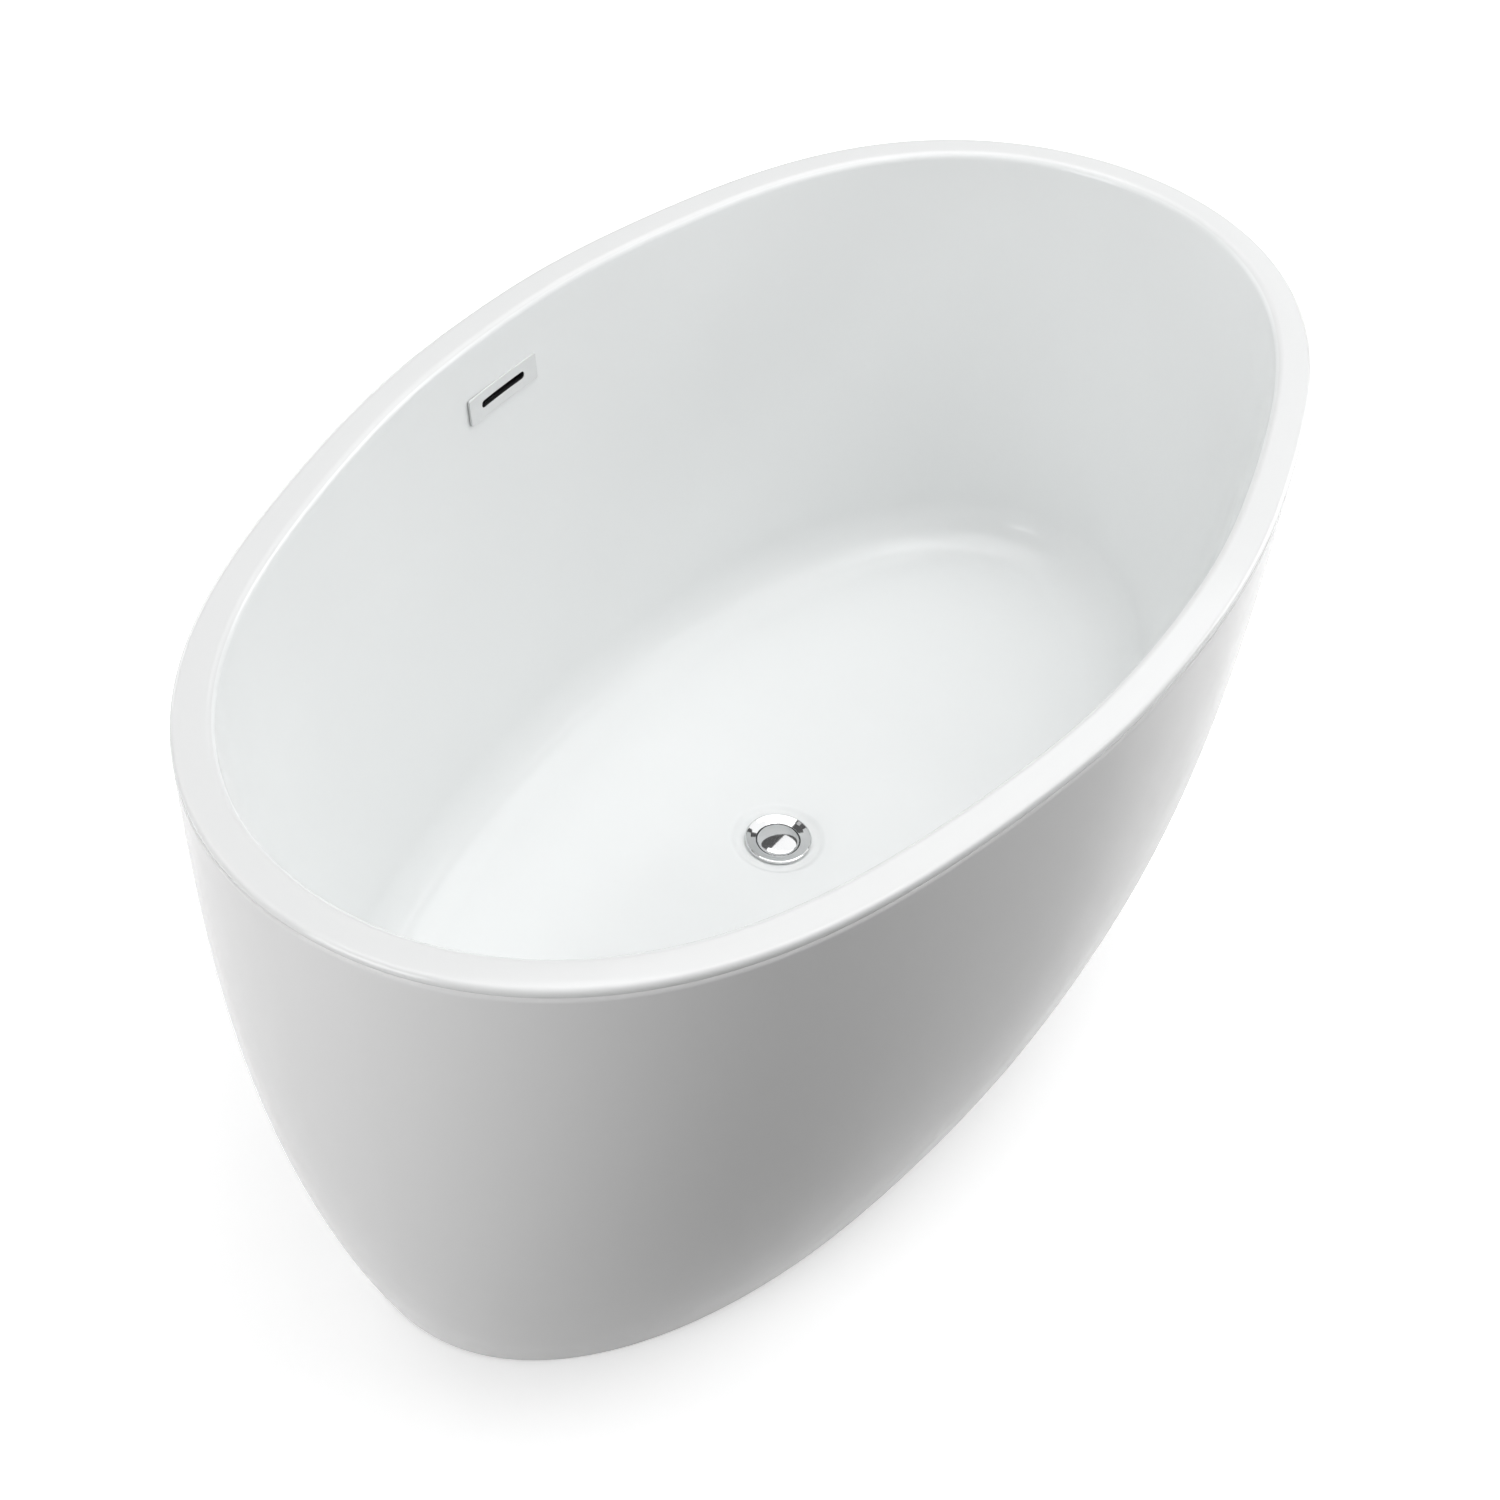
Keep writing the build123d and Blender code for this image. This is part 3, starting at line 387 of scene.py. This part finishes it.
Z_REC = Z_FLOOR - 3.0
for r, z in ((25.0, 132.0), (25.0, 135.0), (25.0, Z_REC - 0.8), (25.3, Z_REC - 0.25), (25.8, Z_REC)):
    put(ring(circle(r), z))
for r in (28.0, 32.0, 36.0, 38.0):
    put(ring(circle(r), Z_REC))
# soft-edged wall of the recess
for k in range(1, 9):
    t = k / 8
    s = t * t * (3 - 2 * t)
    put(ring(circle(38.0 + 7.6 * t), Z_REC + 3.0 * s))
C0 = circle(45.8)
for k in range(1, 23):
    put(ring(mix(C0, FLOOR, (k / 22) ** 1.0), Z_FLOOR))
for k in range(1, 19):
    ph = math.radians(PHI_END * k / 18)
    put(ring(offset(FLOOR, R_CORNER * math.sin(ph)), Z_FLOOR + R_CORNER * (1 - math.cos(ph))))
z_lip = H_RIM - LIP_R
for k in range(1, 57):
    z = Z_WALL0 + (z_lip - Z_WALL0) * k / 56
    put(ring(basin_line(z), z))
LIP0 = basin_line(z_lip)
for k in range(1, 11):
    a = math.radians(90 * k / 10)
    put(ring(offset(LIP0, LIP_R * (1 - math.cos(a))), z_lip + LIP_R * math.sin(a)), 2 if k > 4 else 0)
flat0, flat1 = offset(LIP0, LIP_R), offset(RIM, -EDGE_R)
for k in range(1, 5):
    put(ring(mix(flat0, flat1, k / 4), H_RIM), 2)
for k in range(1, 10):
    a = math.radians(90 * k / 9)
    put(ring(offset(RIM, -EDGE_R * (1 - math.sin(a))), H_RIM - EDGE_R * (1 - math.cos(a))), 2)
put(ring(RIM, 574.02), 2)
put(ring(offset(RIM, -0.02), 574.0))
put(ring(offset(RIM, -5.0), 574.0), 1)
put(ring(offset(OPEN, T_WALL + 3.0), 574.0), 1)
r_low = R_CORNER + T_FLOOR
z_u0 = 135.0 + r_low * (1 - COS_E)
extra = r_low * SIN_E - R_CORNER * SIN_E
for k in range(0, 41):
    t = k / 40
    z = 571.5 + (z_u0 - 571.5) * t
    put(ring(offset(basin_line(max(z, Z_WALL0)), T_WALL + (extra - T_WALL) * t), z), 1)
for k in range(1, 15):
    ph = math.radians(PHI_END * (1 - k / 14))
    put(ring(offset(FLOOR, r_low * math.sin(ph)), 135.0 + r_low * (1 - math.cos(ph))), 1)
C1 = circle(50.5)
for k in range(1, 13):
    put(ring(mix(FLOOR, C1, k / 12), 135.0), 1)
put(ring(circle(50.0), 134.6), 1)
put(ring(circle(50.0), 132.3), 1)
put(ring(circle(49.6), 132.0), 1)
put(ring(circle(36.0), 132.0), 1)
# faces of the flat rim and its rounded edges (kind 2) get the darker rim copy of the acrylic, which is painted shade
def basin_mat(k):
    a, b = kind[k], kind[(k + 1) % len(kind)]
    return 1 if 1 in (a, b) else (2 if a == b == 2 else 0)


basin = grid_mesh("basin", rings, [M_ACRYLIC, M_GLASS, M_RIM_PAINTED_SHADE], basin_mat)

# overflow opening through the long wall, under the plate
Z_OVER = 517.5


def wall_y(z):
    p = basin_line(z)
    p = p[p[:, 1] > 0]
    o = np.argsort(p[:, 0])
    return float(np.interp(X_WASTE, p[o, 0], p[o, 1]))


Y_OVER = wall_y(Z_OVER)
TILT = math.atan2(wall_y(Z_OVER + 12) - wall_y(Z_OVER - 12), 24.0)
OVER_N = np.array([0, -math.cos(TILT), math.sin(TILT)])
OVER_U = np.array([-1.0, 0, 0])
OVER_V = np.cross(OVER_N, OVER_U)
OVER_O = np.array([X_WASTE, Y_OVER, Z_OVER])


def over(u, v, w):
    return OVER_O + u * OVER_U + v * OVER_V + w * OVER_N


def stadium(half_l, half_h, seg=14):
    pts = []
    for k in range(seg + 1):
        a = -math.pi / 2 + math.pi * k / seg
        pts.append((half_l - half_h + half_h * math.cos(a), half_h * math.sin(a)))
    for k in range(seg + 1):
        a = math.pi / 2 + math.pi * k / seg
        pts.append((-half_l + half_h + half_h * math.cos(a), half_h * math.sin(a)))
    return pts


def prism(name, outline, w0, w1):
    n = len(outline)
    co = [tuple(over(u, v, w0) * MM) for u, v in outline] + [tuple(over(u, v, w1) * MM) for u, v in outline]
    faces = [tuple(range(n))[::-1], tuple(range(n, 2 * n))] + [(i, (i + 1) % n, n + (i + 1) % n, n + i) for i in range(n)]
    me = bpy.data.meshes.new(name)
    me.from_pydata(co, [], faces)
    me.update()
    ob = bpy.data.objects.new(name, me)
    bpy.context.scene.collection.objects.link(ob)
    return ob


def cut(target, cutter):
    bpy.context.view_layer.update()
    md = target.modifiers.new("cut", "BOOLEAN")
    md.operation = "DIFFERENCE"
    md.solver = "EXACT"
    md.object = cutter
    dg = bpy.context.evaluated_depsgraph_get()
    me = bpy.data.meshes.new_from_object(target.evaluated_get(dg))
    target.modifiers.remove(md)
    old = target.data
    target.data = me
    bpy.data.meshes.remove(old)
    bpy.data.objects.remove(cutter)


def fix_normals(ob):
    import bmesh
    bm = bmesh.new()
    bm.from_mesh(ob.data)
    bmesh.ops.recalc_face_normals(bm, faces=bm.faces)
    bm.to_mesh(ob.data)
    bm.free()


fix_normals(basin)
cut(basin, prism("c1", stadium(32.0, 6.0), -12.0, 12.0))
for su in (-39.0, 39.0):
    ci = [(su + 2.6 * math.cos(a), 2.6 * math.sin(a)) for a in np.linspace(0, 2 * math.pi, 24, endpoint=False)]
    cut(basin, prism("c2", ci, -12.0, 12.0))
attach(basin, "tub")
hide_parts("basin_shell")

# ------------------------------------------------------------------ skirt
rings, kind = [], []
zs = [Z_SKIRT + 1.2 + (574.0 - Z_SKIRT - 1.2) * (k / 96) for k in range(97)]
put(ring(skirt_line(Z_SKIRT, LIP_W), Z_SKIRT + 0.8))
put(ring(skirt_line(Z_SKIRT, LIP_W - 0.8), Z_SKIRT))
put(ring(skirt_line(Z_SKIRT, 12.0), Z_SKIRT))
for k in range(0, 5):
    a = math.radians(90 * k / 4)
    put(ring(skirt_line(Z_SKIRT + 1.2, 1.2 * (1 - math.sin(a)) + 0.02), Z_SKIRT + 1.2 * (1 - math.cos(a))))
for z in zs[1:]:
    put(ring(skirt_line(z), z))
put(ring(skirt_line(574.0, T_WALL), 574.0), 1)
for k in range(1, 40):
    z = 574.0 + (20.0 - 574.0) * k / 39
    put(ring(skirt_line(z, T_WALL), z), 1)
for k in range(1, 6):
    a = math.radians(90 * k / 5)
    put(ring(skirt_line(20.0, T_WALL + 10.0 * (1 - math.cos(a)) + 0.35 * k), 20.0 - 13.0 * math.sin(a)), 1)
put(ring(skirt_line(Z_SKIRT, LIP_W), 7.0), 1)
skirt = grid_mesh("skirt", rings, [M_SKIRT, M_GLASS], lambda k: 1 if kind[k] else 0)
fix_normals(skirt)
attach(skirt, "tub")
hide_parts("skirt_shell")

# ------------------------------------------------------------------ turned and threaded metal
def turned(name, cx, cy, prof, mats, seg=96, thread=None):
    """Closed turned piece from (radius, height) points. thread = (z0, z1, outer radius, depth, pitch) cuts a helical groove."""
    a = np.arange(seg) * 2 * np.pi / seg
    out = []
    prof = [p for i, p in enumerate(prof) if i == 0 or math.hypot(p[0] - prof[i - 1][0], p[1] - prof[i - 1][1]) > 1e-4]
    for r, z in prof:
        rr = np.full(seg, float(r))
        if thread and thread[0] <= z <= thread[1] and abs(r - thread[2]) < 1e-6:
            fade = min(1.0, (z - thread[0]) / 1.0, (thread[1] - z) / 1.0)
            wave = np.abs(((z / thread[4] - a / (2 * np.pi)) % 1.0) * 2 - 1)
            rr = rr - thread[3] * fade * np.clip(wave * 1.25 - 0.12, 0, 1)
        out.append(np.c_[cx + rr * np.cos(a), cy + rr * np.sin(a), np.full(seg, z)])
    ob = grid_mesh(name, out, mats)
    fix_normals(ob)
    return ob


def steps(r, z0, z1, dz):
    n = max(1, int(round(abs(z1 - z0) / dz)))
    return [(r, z0 + (z1 - z0) * k / n) for k in range(n + 1)]


def merge(name, obs):
    """One mesh object out of several."""
    import bmesh
    bm = bmesh.new()
    for o in obs:
        bm.from_mesh(o.data)
    me = bpy.data.meshes.new(name)
    bm.to_mesh(me)
    bm.free()
    for m in obs[0].data.materials:
        me.materials.append(m)
    for o in obs:
        bpy.data.objects.remove(o)
    ob = bpy.data.objects.new(name, me)
    bpy.context.scene.collection.objects.link(ob)
    return ob


def bevelled_box(name, lo, hi, r, mats, seg=3):
    import bmesh
    bm = bmesh.new()
    bmesh.ops.create_cube(bm, size=1.0)
    for v in bm.verts:
        v.co = Vector([(lo[k] + hi[k]) / 2 + v.co[k] * (hi[k] - lo[k]) for k in range(3)]) * MM
    bmesh.ops.bevel(bm, geom=list(bm.edges), offset=r * MM, segments=seg, profile=0.5, affect="EDGES")
    for f in bm.faces:
        f.smooth = True
    me = bpy.data.meshes.new(name)
    bm.to_mesh(me)
    bm.free()
    for m in mats:
        me.materials.append(m)
    ob = bpy.data.objects.new(name, me)
    bpy.context.scene.collection.objects.link(ob)
    return ob


def prism_z(name, cx, cy, af, sides, z0, z1, ch, mats, hole=0.0, turn=0.0):
    """Nut or wrench flats: polygon with the corners turned off, and a hole."""
    seg = sides * 12
    a = np.arange(seg) * 2 * np.pi / seg
    half = math.pi / sides
    poly = (af / 2) / np.cos((a + half + turn) % (2 * half) - half)
    rc = af / 2 / math.cos(half)
    out = []
    inner = hole if hole > 0 else 0.02
    prof = [(inner, z0), (af / 2 * 0.96, z0), (None, z0 + ch), (None, z1 - ch), (af / 2 * 0.96, z1), (inner, z1)]
    for r, z in prof:
        if r is None:
            t = 1.0
            rr = poly
        else:
            rr = np.full(seg, float(r))
        out.append(np.c_[cx + rr * np.cos(a), cy + rr * np.sin(a), np.full(seg, z)])
        if r is None and z == z0 + ch:
            pass
    # chamfer cone: corners are cut where the cone is inside the polygon
    def cone(z, up):
        lim = af / 2 * 0.96 + (rc - af / 2 * 0.96) * ((z - z0) / ch if not up else (z1 - z) / ch)
        rr = np.minimum(poly, lim)
        return np.c_[cx + rr * np.cos(a), cy + rr * np.sin(a), np.full(seg, z)]
    body = [out[0], out[1]] + [cone(z0 + ch * k / 5, False) for k in range(1, 6)] + [cone(z1 - ch * (5 - k) / 5, True) for k in range(0, 5)] + [out[4], out[5]]
    ob = grid_mesh(name, body, mats)
    fix_normals(ob)
    return ob


def auto_smooth(ob, deg=35.0):
    import bmesh
    bm = bmesh.new()
    bm.from_mesh(ob.data)
    lim = math.radians(deg)
    for e in bm.edges:
        if len(e.link_faces) == 2:
            e.smooth = e.calc_face_angle(0.0) < lim
    bm.to_mesh(ob.data)
    bm.free()
    return ob


LIP_TOP = Z_REC + 4.2
Z_SEAT = LIP_TOP - 7.7
prof = ([(19.0, 90.0), (19.0, Z_SEAT - 0.6), (19.5, Z_SEAT - 0.1), (20.0, Z_SEAT)]
        + [(21.15, Z_SEAT), (21.2, Z_SEAT + 0.4), (21.0, LIP_TOP - 3.4)]
        + rounded([(21.0, LIP_TOP - 3.4), (21.15, LIP_TOP - 2.95), (26.2, LIP_TOP - 1.55), (29.9, LIP_TOP - 0.1), (30.2, LIP_TOP), (31.35, LIP_TOP - 0.45), (31.5, LIP_TOP - 1.0), (31.5, Z_REC + 1.2), (31.1, Z_REC + 0.8)],
                  [0, 0.3, 8.0, 0.15, 0.15, 0.15, 0.15, 0.3, 0], 6)
        + [(24.2, Z_REC + 0.8), (23.5, Z_REC + 0.2)] + steps(23.5, 137.0, 91.0, 0.36) + [(22.9, 90.0)])
flange = turned("drain_flange_ring", X_WASTE, 0, prof, [M_CHROME], 128, (92.0, 134.0, 23.5, 0.75, 2.2))
bars = [bevelled_box("bar_a", (X_WASTE - 19.4, -2.5, 100.0), (X_WASTE + 19.4, 2.5, 105.0), 0.9, [M_CHROME]),
        bevelled_box("bar_b", (X_WASTE - 2.5, -19.4, 100.0), (X_WASTE + 2.5, 19.4, 105.0), 0.9, [M_CHROME]),
        turned("bar_hub", X_WASTE, 0, [(4.06, 99.0), (6.1, 99.0), (6.5, 99.4), (6.5, 106.6), (6.1, 107.0), (4.06, 107.0)], [M_CHROME], 48)]
flange = auto_smooth(merge("drain_flange_visual", [flange] + bars))
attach(flange, "tub")
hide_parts("drain_flange")

top = [(20.33, Z_SEAT + 3.9), (20.25, Z_SEAT + 4.35), (20.0, Z_SEAT + 4.75), (19.65, Z_SEAT + 5.0)]
dome = [(19.65 * math.cos(math.radians(90 * k / 16)), Z_SEAT + 5.0 + 2.5 * math.sin(math.radians(90 * k / 16))) for k in range(1, 16)]
cap_prof = ([(4.05, 118.0), (6.2, 118.0), (6.6, 118.4), (6.6, Z_SEAT + 0.1), (12.0, Z_SEAT + 0.1), (12.0, Z_SEAT + 2.3), (20.0, Z_SEAT + 2.3),
             (20.33, Z_SEAT + 2.7)] + top + dome + [(0.05, Z_SEAT + 7.5), (0.05, Z_SEAT + 3.7), (4.05, Z_SEAT + 3.7)])
cap = auto_smooth(turned("stopper_cap_visual", X_WASTE, 0, cap_prof, [M_CHROME], 128), 40)
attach(cap, "stopper")
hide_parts("stopper_cap")

# ------------------------------------------------------------------ levelling studs with their threads
for i, (fx, fy) in enumerate([(-330, -135), (330, -135), (330, 135), (-330, 135)], start=1):
    pts = [(0.03, 8.05), (4.9, 8.05), (5.2, 8.4)] + steps(5.2, 8.8, 17.6, 3.0) + [(6.0, 18.0)] + steps(6.0, 26.2, 125.8, 0.22) + [(4.9, 127.0), (0.03, 127.05)]
    stud = turned(f"stud_{i}", fx, fy, pts, [M_ZINC], 28, (27.0, 127.0, 6.0, 0.95, 1.75))
    flats = prism_z(f"flats_{i}", fx, fy, 17.0, 6, 18.0, 26.0, 1.2, [M_ZINC], 4.0)
    ob = auto_smooth(merge(f"foot_stud_visual_{i}", [stud, flats]), 30)
    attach(ob, f"foot_{i}")
    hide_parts(f"foot_stud_{i}")

# ------------------------------------------------------------------ overflow plate, bent to the wall
R_BEND = 1015.0


def bent_plate(name, loops, w0, w1, bevel, mats):
    """Flat outline with holes, thickened from w0 to w1 with rolled edges, then bent to the wall's own curve."""
    import bmesh
    cu = bpy.data.curves.new(name, "CURVE")
    cu.dimensions = "2D"
    cu.fill_mode = "BOTH"
    for pts in loops:
        sp = cu.splines.new("POLY")
        sp.points.add(len(pts) - 1)
        for p, (u, v) in zip(sp.points, pts):
            p.co = (u, v, 0, 1)
        sp.use_cyclic_u = True
    cu.extrude = (w1 - w0) / 2 - bevel
    cu.bevel_depth = bevel
    cu.bevel_resolution = 3
    tmp = bpy.data.objects.new("plate_tmp", cu)
    bpy.context.scene.collection.objects.link(tmp)
    bpy.context.view_layer.update()
    me = bpy.data.meshes.new_from_object(tmp.evaluated_get(bpy.context.evaluated_depsgraph_get()))
    bpy.data.objects.remove(tmp)
    bm = bmesh.new()
    bm.from_mesh(me)
    bmesh.ops.remove_doubles(bm, verts=bm.verts, dist=0.0005)
    for k in range(-11, 12):
        bmesh.ops.bisect_plane(bm, geom=bm.verts[:] + bm.edges[:] + bm.faces[:], plane_co=(k * 4.0 + 0.013, 0, 0), plane_no=(1, 0, 0))
    bmesh.ops.remove_doubles(bm, verts=bm.verts, dist=0.002)
    for v in bm.verts:
        u, vv, w = v.co
        v.co = Vector(over(u, vv, w + (w0 + w1) / 2 + (u * u) / (2 * R_BEND)) * MM)
    for f in bm.faces:
        f.smooth = True
    bmesh.ops.recalc_face_normals(bm, faces=bm.faces)
    bm.to_mesh(me)
    bm.free()
    me.materials.clear()
    for m in mats:
        me.materials.append(m)
    ob = bpy.data.objects.new(name, me)
    bpy.context.scene.collection.objects.link(ob)
    return auto_smooth(ob, 28)


def round_box(hu, hv, rc, seg=6):
    out = []
    for sx, sy, a0 in ((1, -1, -90), (1, 1, 0), (-1, 1, 90), (-1, -1, 180)):
        for k in range(seg + 1):
            a = math.radians(a0 + 90 * k / seg)
            out.append((sx * (hu - rc) + rc * math.cos(a), sy * (hv - rc) + rc * math.sin(a)))
    return out


def plate_mesh():
    b1, b2 = 0.40, 0.25
    face = bent_plate("plate_face", [round_box(47.0 - b1, 12.5 - b1, 1.3), stadium(30.0 + b1, 3.5 + b1, 16)[::-1]], 1.1, 2.1, b1, [M_PLATE])
    fold = bent_plate("plate_fold", [round_box(47.0 - b2, 12.5 - b2, 1.4), round_box(45.8 + b2, 11.3 + b2, 0.8)[::-1]], 0.15, 1.45, b2, [M_PLATE])
    return merge("plate_shell", [face, fold])


plate = plate_mesh()
studs = []
for su in (-39.0, 39.0):
    seg = 24
    a = np.arange(seg) * 2 * np.pi / seg
    rr = []
    for r, w in [(0.03, 1.9), (2.0, 1.9)] + [(2.0 - 0.22 * (k % 2), 1.0 - k * 0.4) for k in range(0, 42)] + [(1.5, -16.0), (0.03, -16.0)]:
        rr.append(np.array([over(su + r * math.cos(t), r * math.sin(t), w) for t in a]))
    st = grid_mesh("plate_stud", rr, [M_PLATE])
    fix_normals(st)
    studs.append(st)
plate = merge("overflow_plate_visual", [plate] + studs)
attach(plate, "tub")
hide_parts("overflow_plate")

# black sleeve between the plate's slot and the box behind the wall: partly the black plastic of the overflow box,
# partly painted shade standing in for the dark depth of the slot
throat_rings = []
for hl, hh, w in ((31.3, 5.3, 1.0), (31.7, 5.7, 1.0), (31.7, 5.7, -4.6), (31.3, 5.3, -4.6), (31.0, 5.0, -2.0)):
    throat_rings.append(np.array([over(u, v, w + (u * u) / (2 * R_BEND)) for u, v in stadium(hl, hh, 16)]))
throat = grid_mesh("overflow_throat", throat_rings, [M_BLACK])
fix_normals(throat)
auto_smooth(throat, 40)
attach(throat, "tub")

# ------------------------------------------------------------------ floor, light, camera
def stage_floor():
    """Pale floor, kept at one even white out to its edge, and a pale curved wall far behind it."""
    me = bpy.data.meshes.new("floor")
    r0, z0 = 7.0, -0.0004
    seg = 96
    a = np.arange(seg) * 2 * np.pi / seg
    me.from_pydata([(r0 * math.cos(t), r0 * math.sin(t), z0) for t in a], [], [tuple(range(seg))])
    m, nt, b = new_mat("floor_pale")
    v = tex_coord(nt)
    nt.links.new(ramp(nt, noise(nt, v, 1.5, 3.0), [(0.3, (0.90, 0.90, 0.90)), (0.7, (0.92, 0.92, 0.92))]), b.inputs["Base Color"])
    b.inputs["Roughness"].default_value = 0.9
    b.inputs["Emission Color"].default_value = (1, 1, 1, 1)
    ln = nt.nodes.new("ShaderNodeVectorMath"); ln.operation = "LENGTH"
    nt.links.new(v, ln.inputs[0])
    nt.links.new(rng(nt, ln.outputs["Value"], 0.40, 0.92, 1.0, 4.5), b.inputs["Emission Strength"])
    me.materials.append(m)
    ob = bpy.data.objects.new("floor", me)
    ob.visible_diffuse = False
    bpy.context.scene.collection.objects.link(ob)

    prof = [(r0 - 0.02, z0 - 0.002)] + [(r0 + 2.0 * math.sin(math.radians(9 * k)), 2.0 - 2.0 * math.cos(math.radians(9 * k)) + z0 - 0.002) for k in range(1, 11)] + [(r0 + 2.0, 12.0)]
    co, fs = [], []
    for r, z in prof:
        co += [(r * math.cos(t), r * math.sin(t), z) for t in a]
    for k in range(len(prof) - 1):
        fs += [(k * seg + i, k * seg + (i + 1) % seg, (k + 1) * seg + (i + 1) % seg, (k + 1) * seg + i) for i in range(seg)]
    mw = bpy.data.meshes.new("backdrop")
    mw.from_pydata(co, [], fs)
    for f in mw.polygons:
        f.use_smooth = True
    m2, nt2, b2 = new_mat("backdrop_pale")
    v2 = tex_coord(nt2)
    nt2.links.new(ramp(nt2, noise(nt2, v2, 0.5, 2.0), [(0.3, (0.90, 0.90, 0.90)), (0.7, (0.92, 0.92, 0.92))]), b2.inputs["Base Color"])
    b2.inputs["Roughness"].default_value = 0.9
    b2.inputs["Emission Color"].default_value = (1, 1, 1, 1)
    b2.inputs["Emission Strength"].default_value = 0.86
    mw.materials.append(m2)
    wall = bpy.data.objects.new("backdrop", mw)
    wall.visible_diffuse = False
    wall.visible_glossy = False
    wall.visible_shadow = False
    bpy.context.scene.collection.objects.link(wall)
    return ob


floor = stage_floor()

world = bpy.data.worlds.new("studio")
bpy.context.scene.world = world
world.use_nodes = True
WORLD_LEVEL = 0.13
world.node_tree.nodes["Background"].inputs["Color"].default_value = (1, 1, 1, 1)
world.node_tree.nodes["Background"].inputs["Strength"].default_value = WORLD_LEVEL

AIM = Vector((0.0, 0.0, 0.38))
# name, azimuth (0 is towards -Y, 90 towards +X), elevation, distance, width, height, power
LIGHTS = [
    ("top", 0, 90, 3.0, 2.6, 2.6, 39.1),
    ("over_far_end", 90, 60, 2.6, 1.8, 1.8, 12.6),
    ("over_front", 0, 62, 2.6, 1.6, 1.6, 3.4),
    ("side_left", -100, 15, 3.2, 1.6, 1.6, 41.9),
    ("back_left", -150, 50, 3.2, 2.0, 2.0, 6.8),
    ("side_right", 60, 15, 3.2, 1.6, 1.6, 32.9),
    ("high_right", 30, 50, 3.2, 2.0, 2.0, 23.3),
    ("back_fill", 165, 12, 3.2, 2.0, 1.2, 15.0),
]


def area(name, az, el, dist, w, h, power):
    li = bpy.data.lights.new(name, "AREA")
    li.shape = "RECTANGLE"
    li.size, li.size_y = w, h
    li.energy = power
    ob = bpy.data.objects.new(name, li)
    a, e = math.radians(az), math.radians(el)
    back = Vector((math.sin(a) * math.cos(e), -math.cos(a) * math.cos(e), math.sin(e)))
    ob.location = AIM + back * dist
    ob.rotation_mode = "QUATERNION"
    ob.rotation_quaternion = (-back).to_track_quat("-Z", "Y")
    bpy.context.scene.collection.objects.link(ob)
    return ob


for spec in LIGHTS:
    area(*spec)

cam_data = bpy.data.cameras.new("camera")
cam_data.sensor_width = 36.0
cam_data.lens = 53.42
cam_data.clip_start, cam_data.clip_end = 0.05, 100.0
cam = bpy.data.objects.new("camera", cam_data)
bpy.context.scene.collection.objects.link(cam)
az, el, roll = math.radians(-60.19), math.radians(44.15), math.radians(4.32)
target = Vector((-0.2959, -0.1386, 0.580))
back = Vector((math.sin(az) * math.cos(el), -math.cos(az) * math.cos(el), math.sin(el)))
fwd = -back
right = fwd.cross(Vector((0, 0, 1))).normalized()
up = right.cross(fwd)
r2 = math.cos(roll) * right + math.sin(roll) * up
u2 = -math.sin(roll) * right + math.cos(roll) * up
cam.matrix_world = Matrix.Translation(target + back * 1.5472) @ Matrix((
    (r2.x, u2.x, back.x, 0), (r2.y, u2.y, back.y, 0), (r2.z, u2.z, back.z, 0), (0, 0, 0, 1)))
bpy.context.scene.camera = cam

bpy.context.scene.view_settings.view_transform = "Standard"
bpy.context.scene.view_settings.look = "None"
bpy.context.scene.view_settings.exposure = 0.0

bpy.context.view_layer.update()
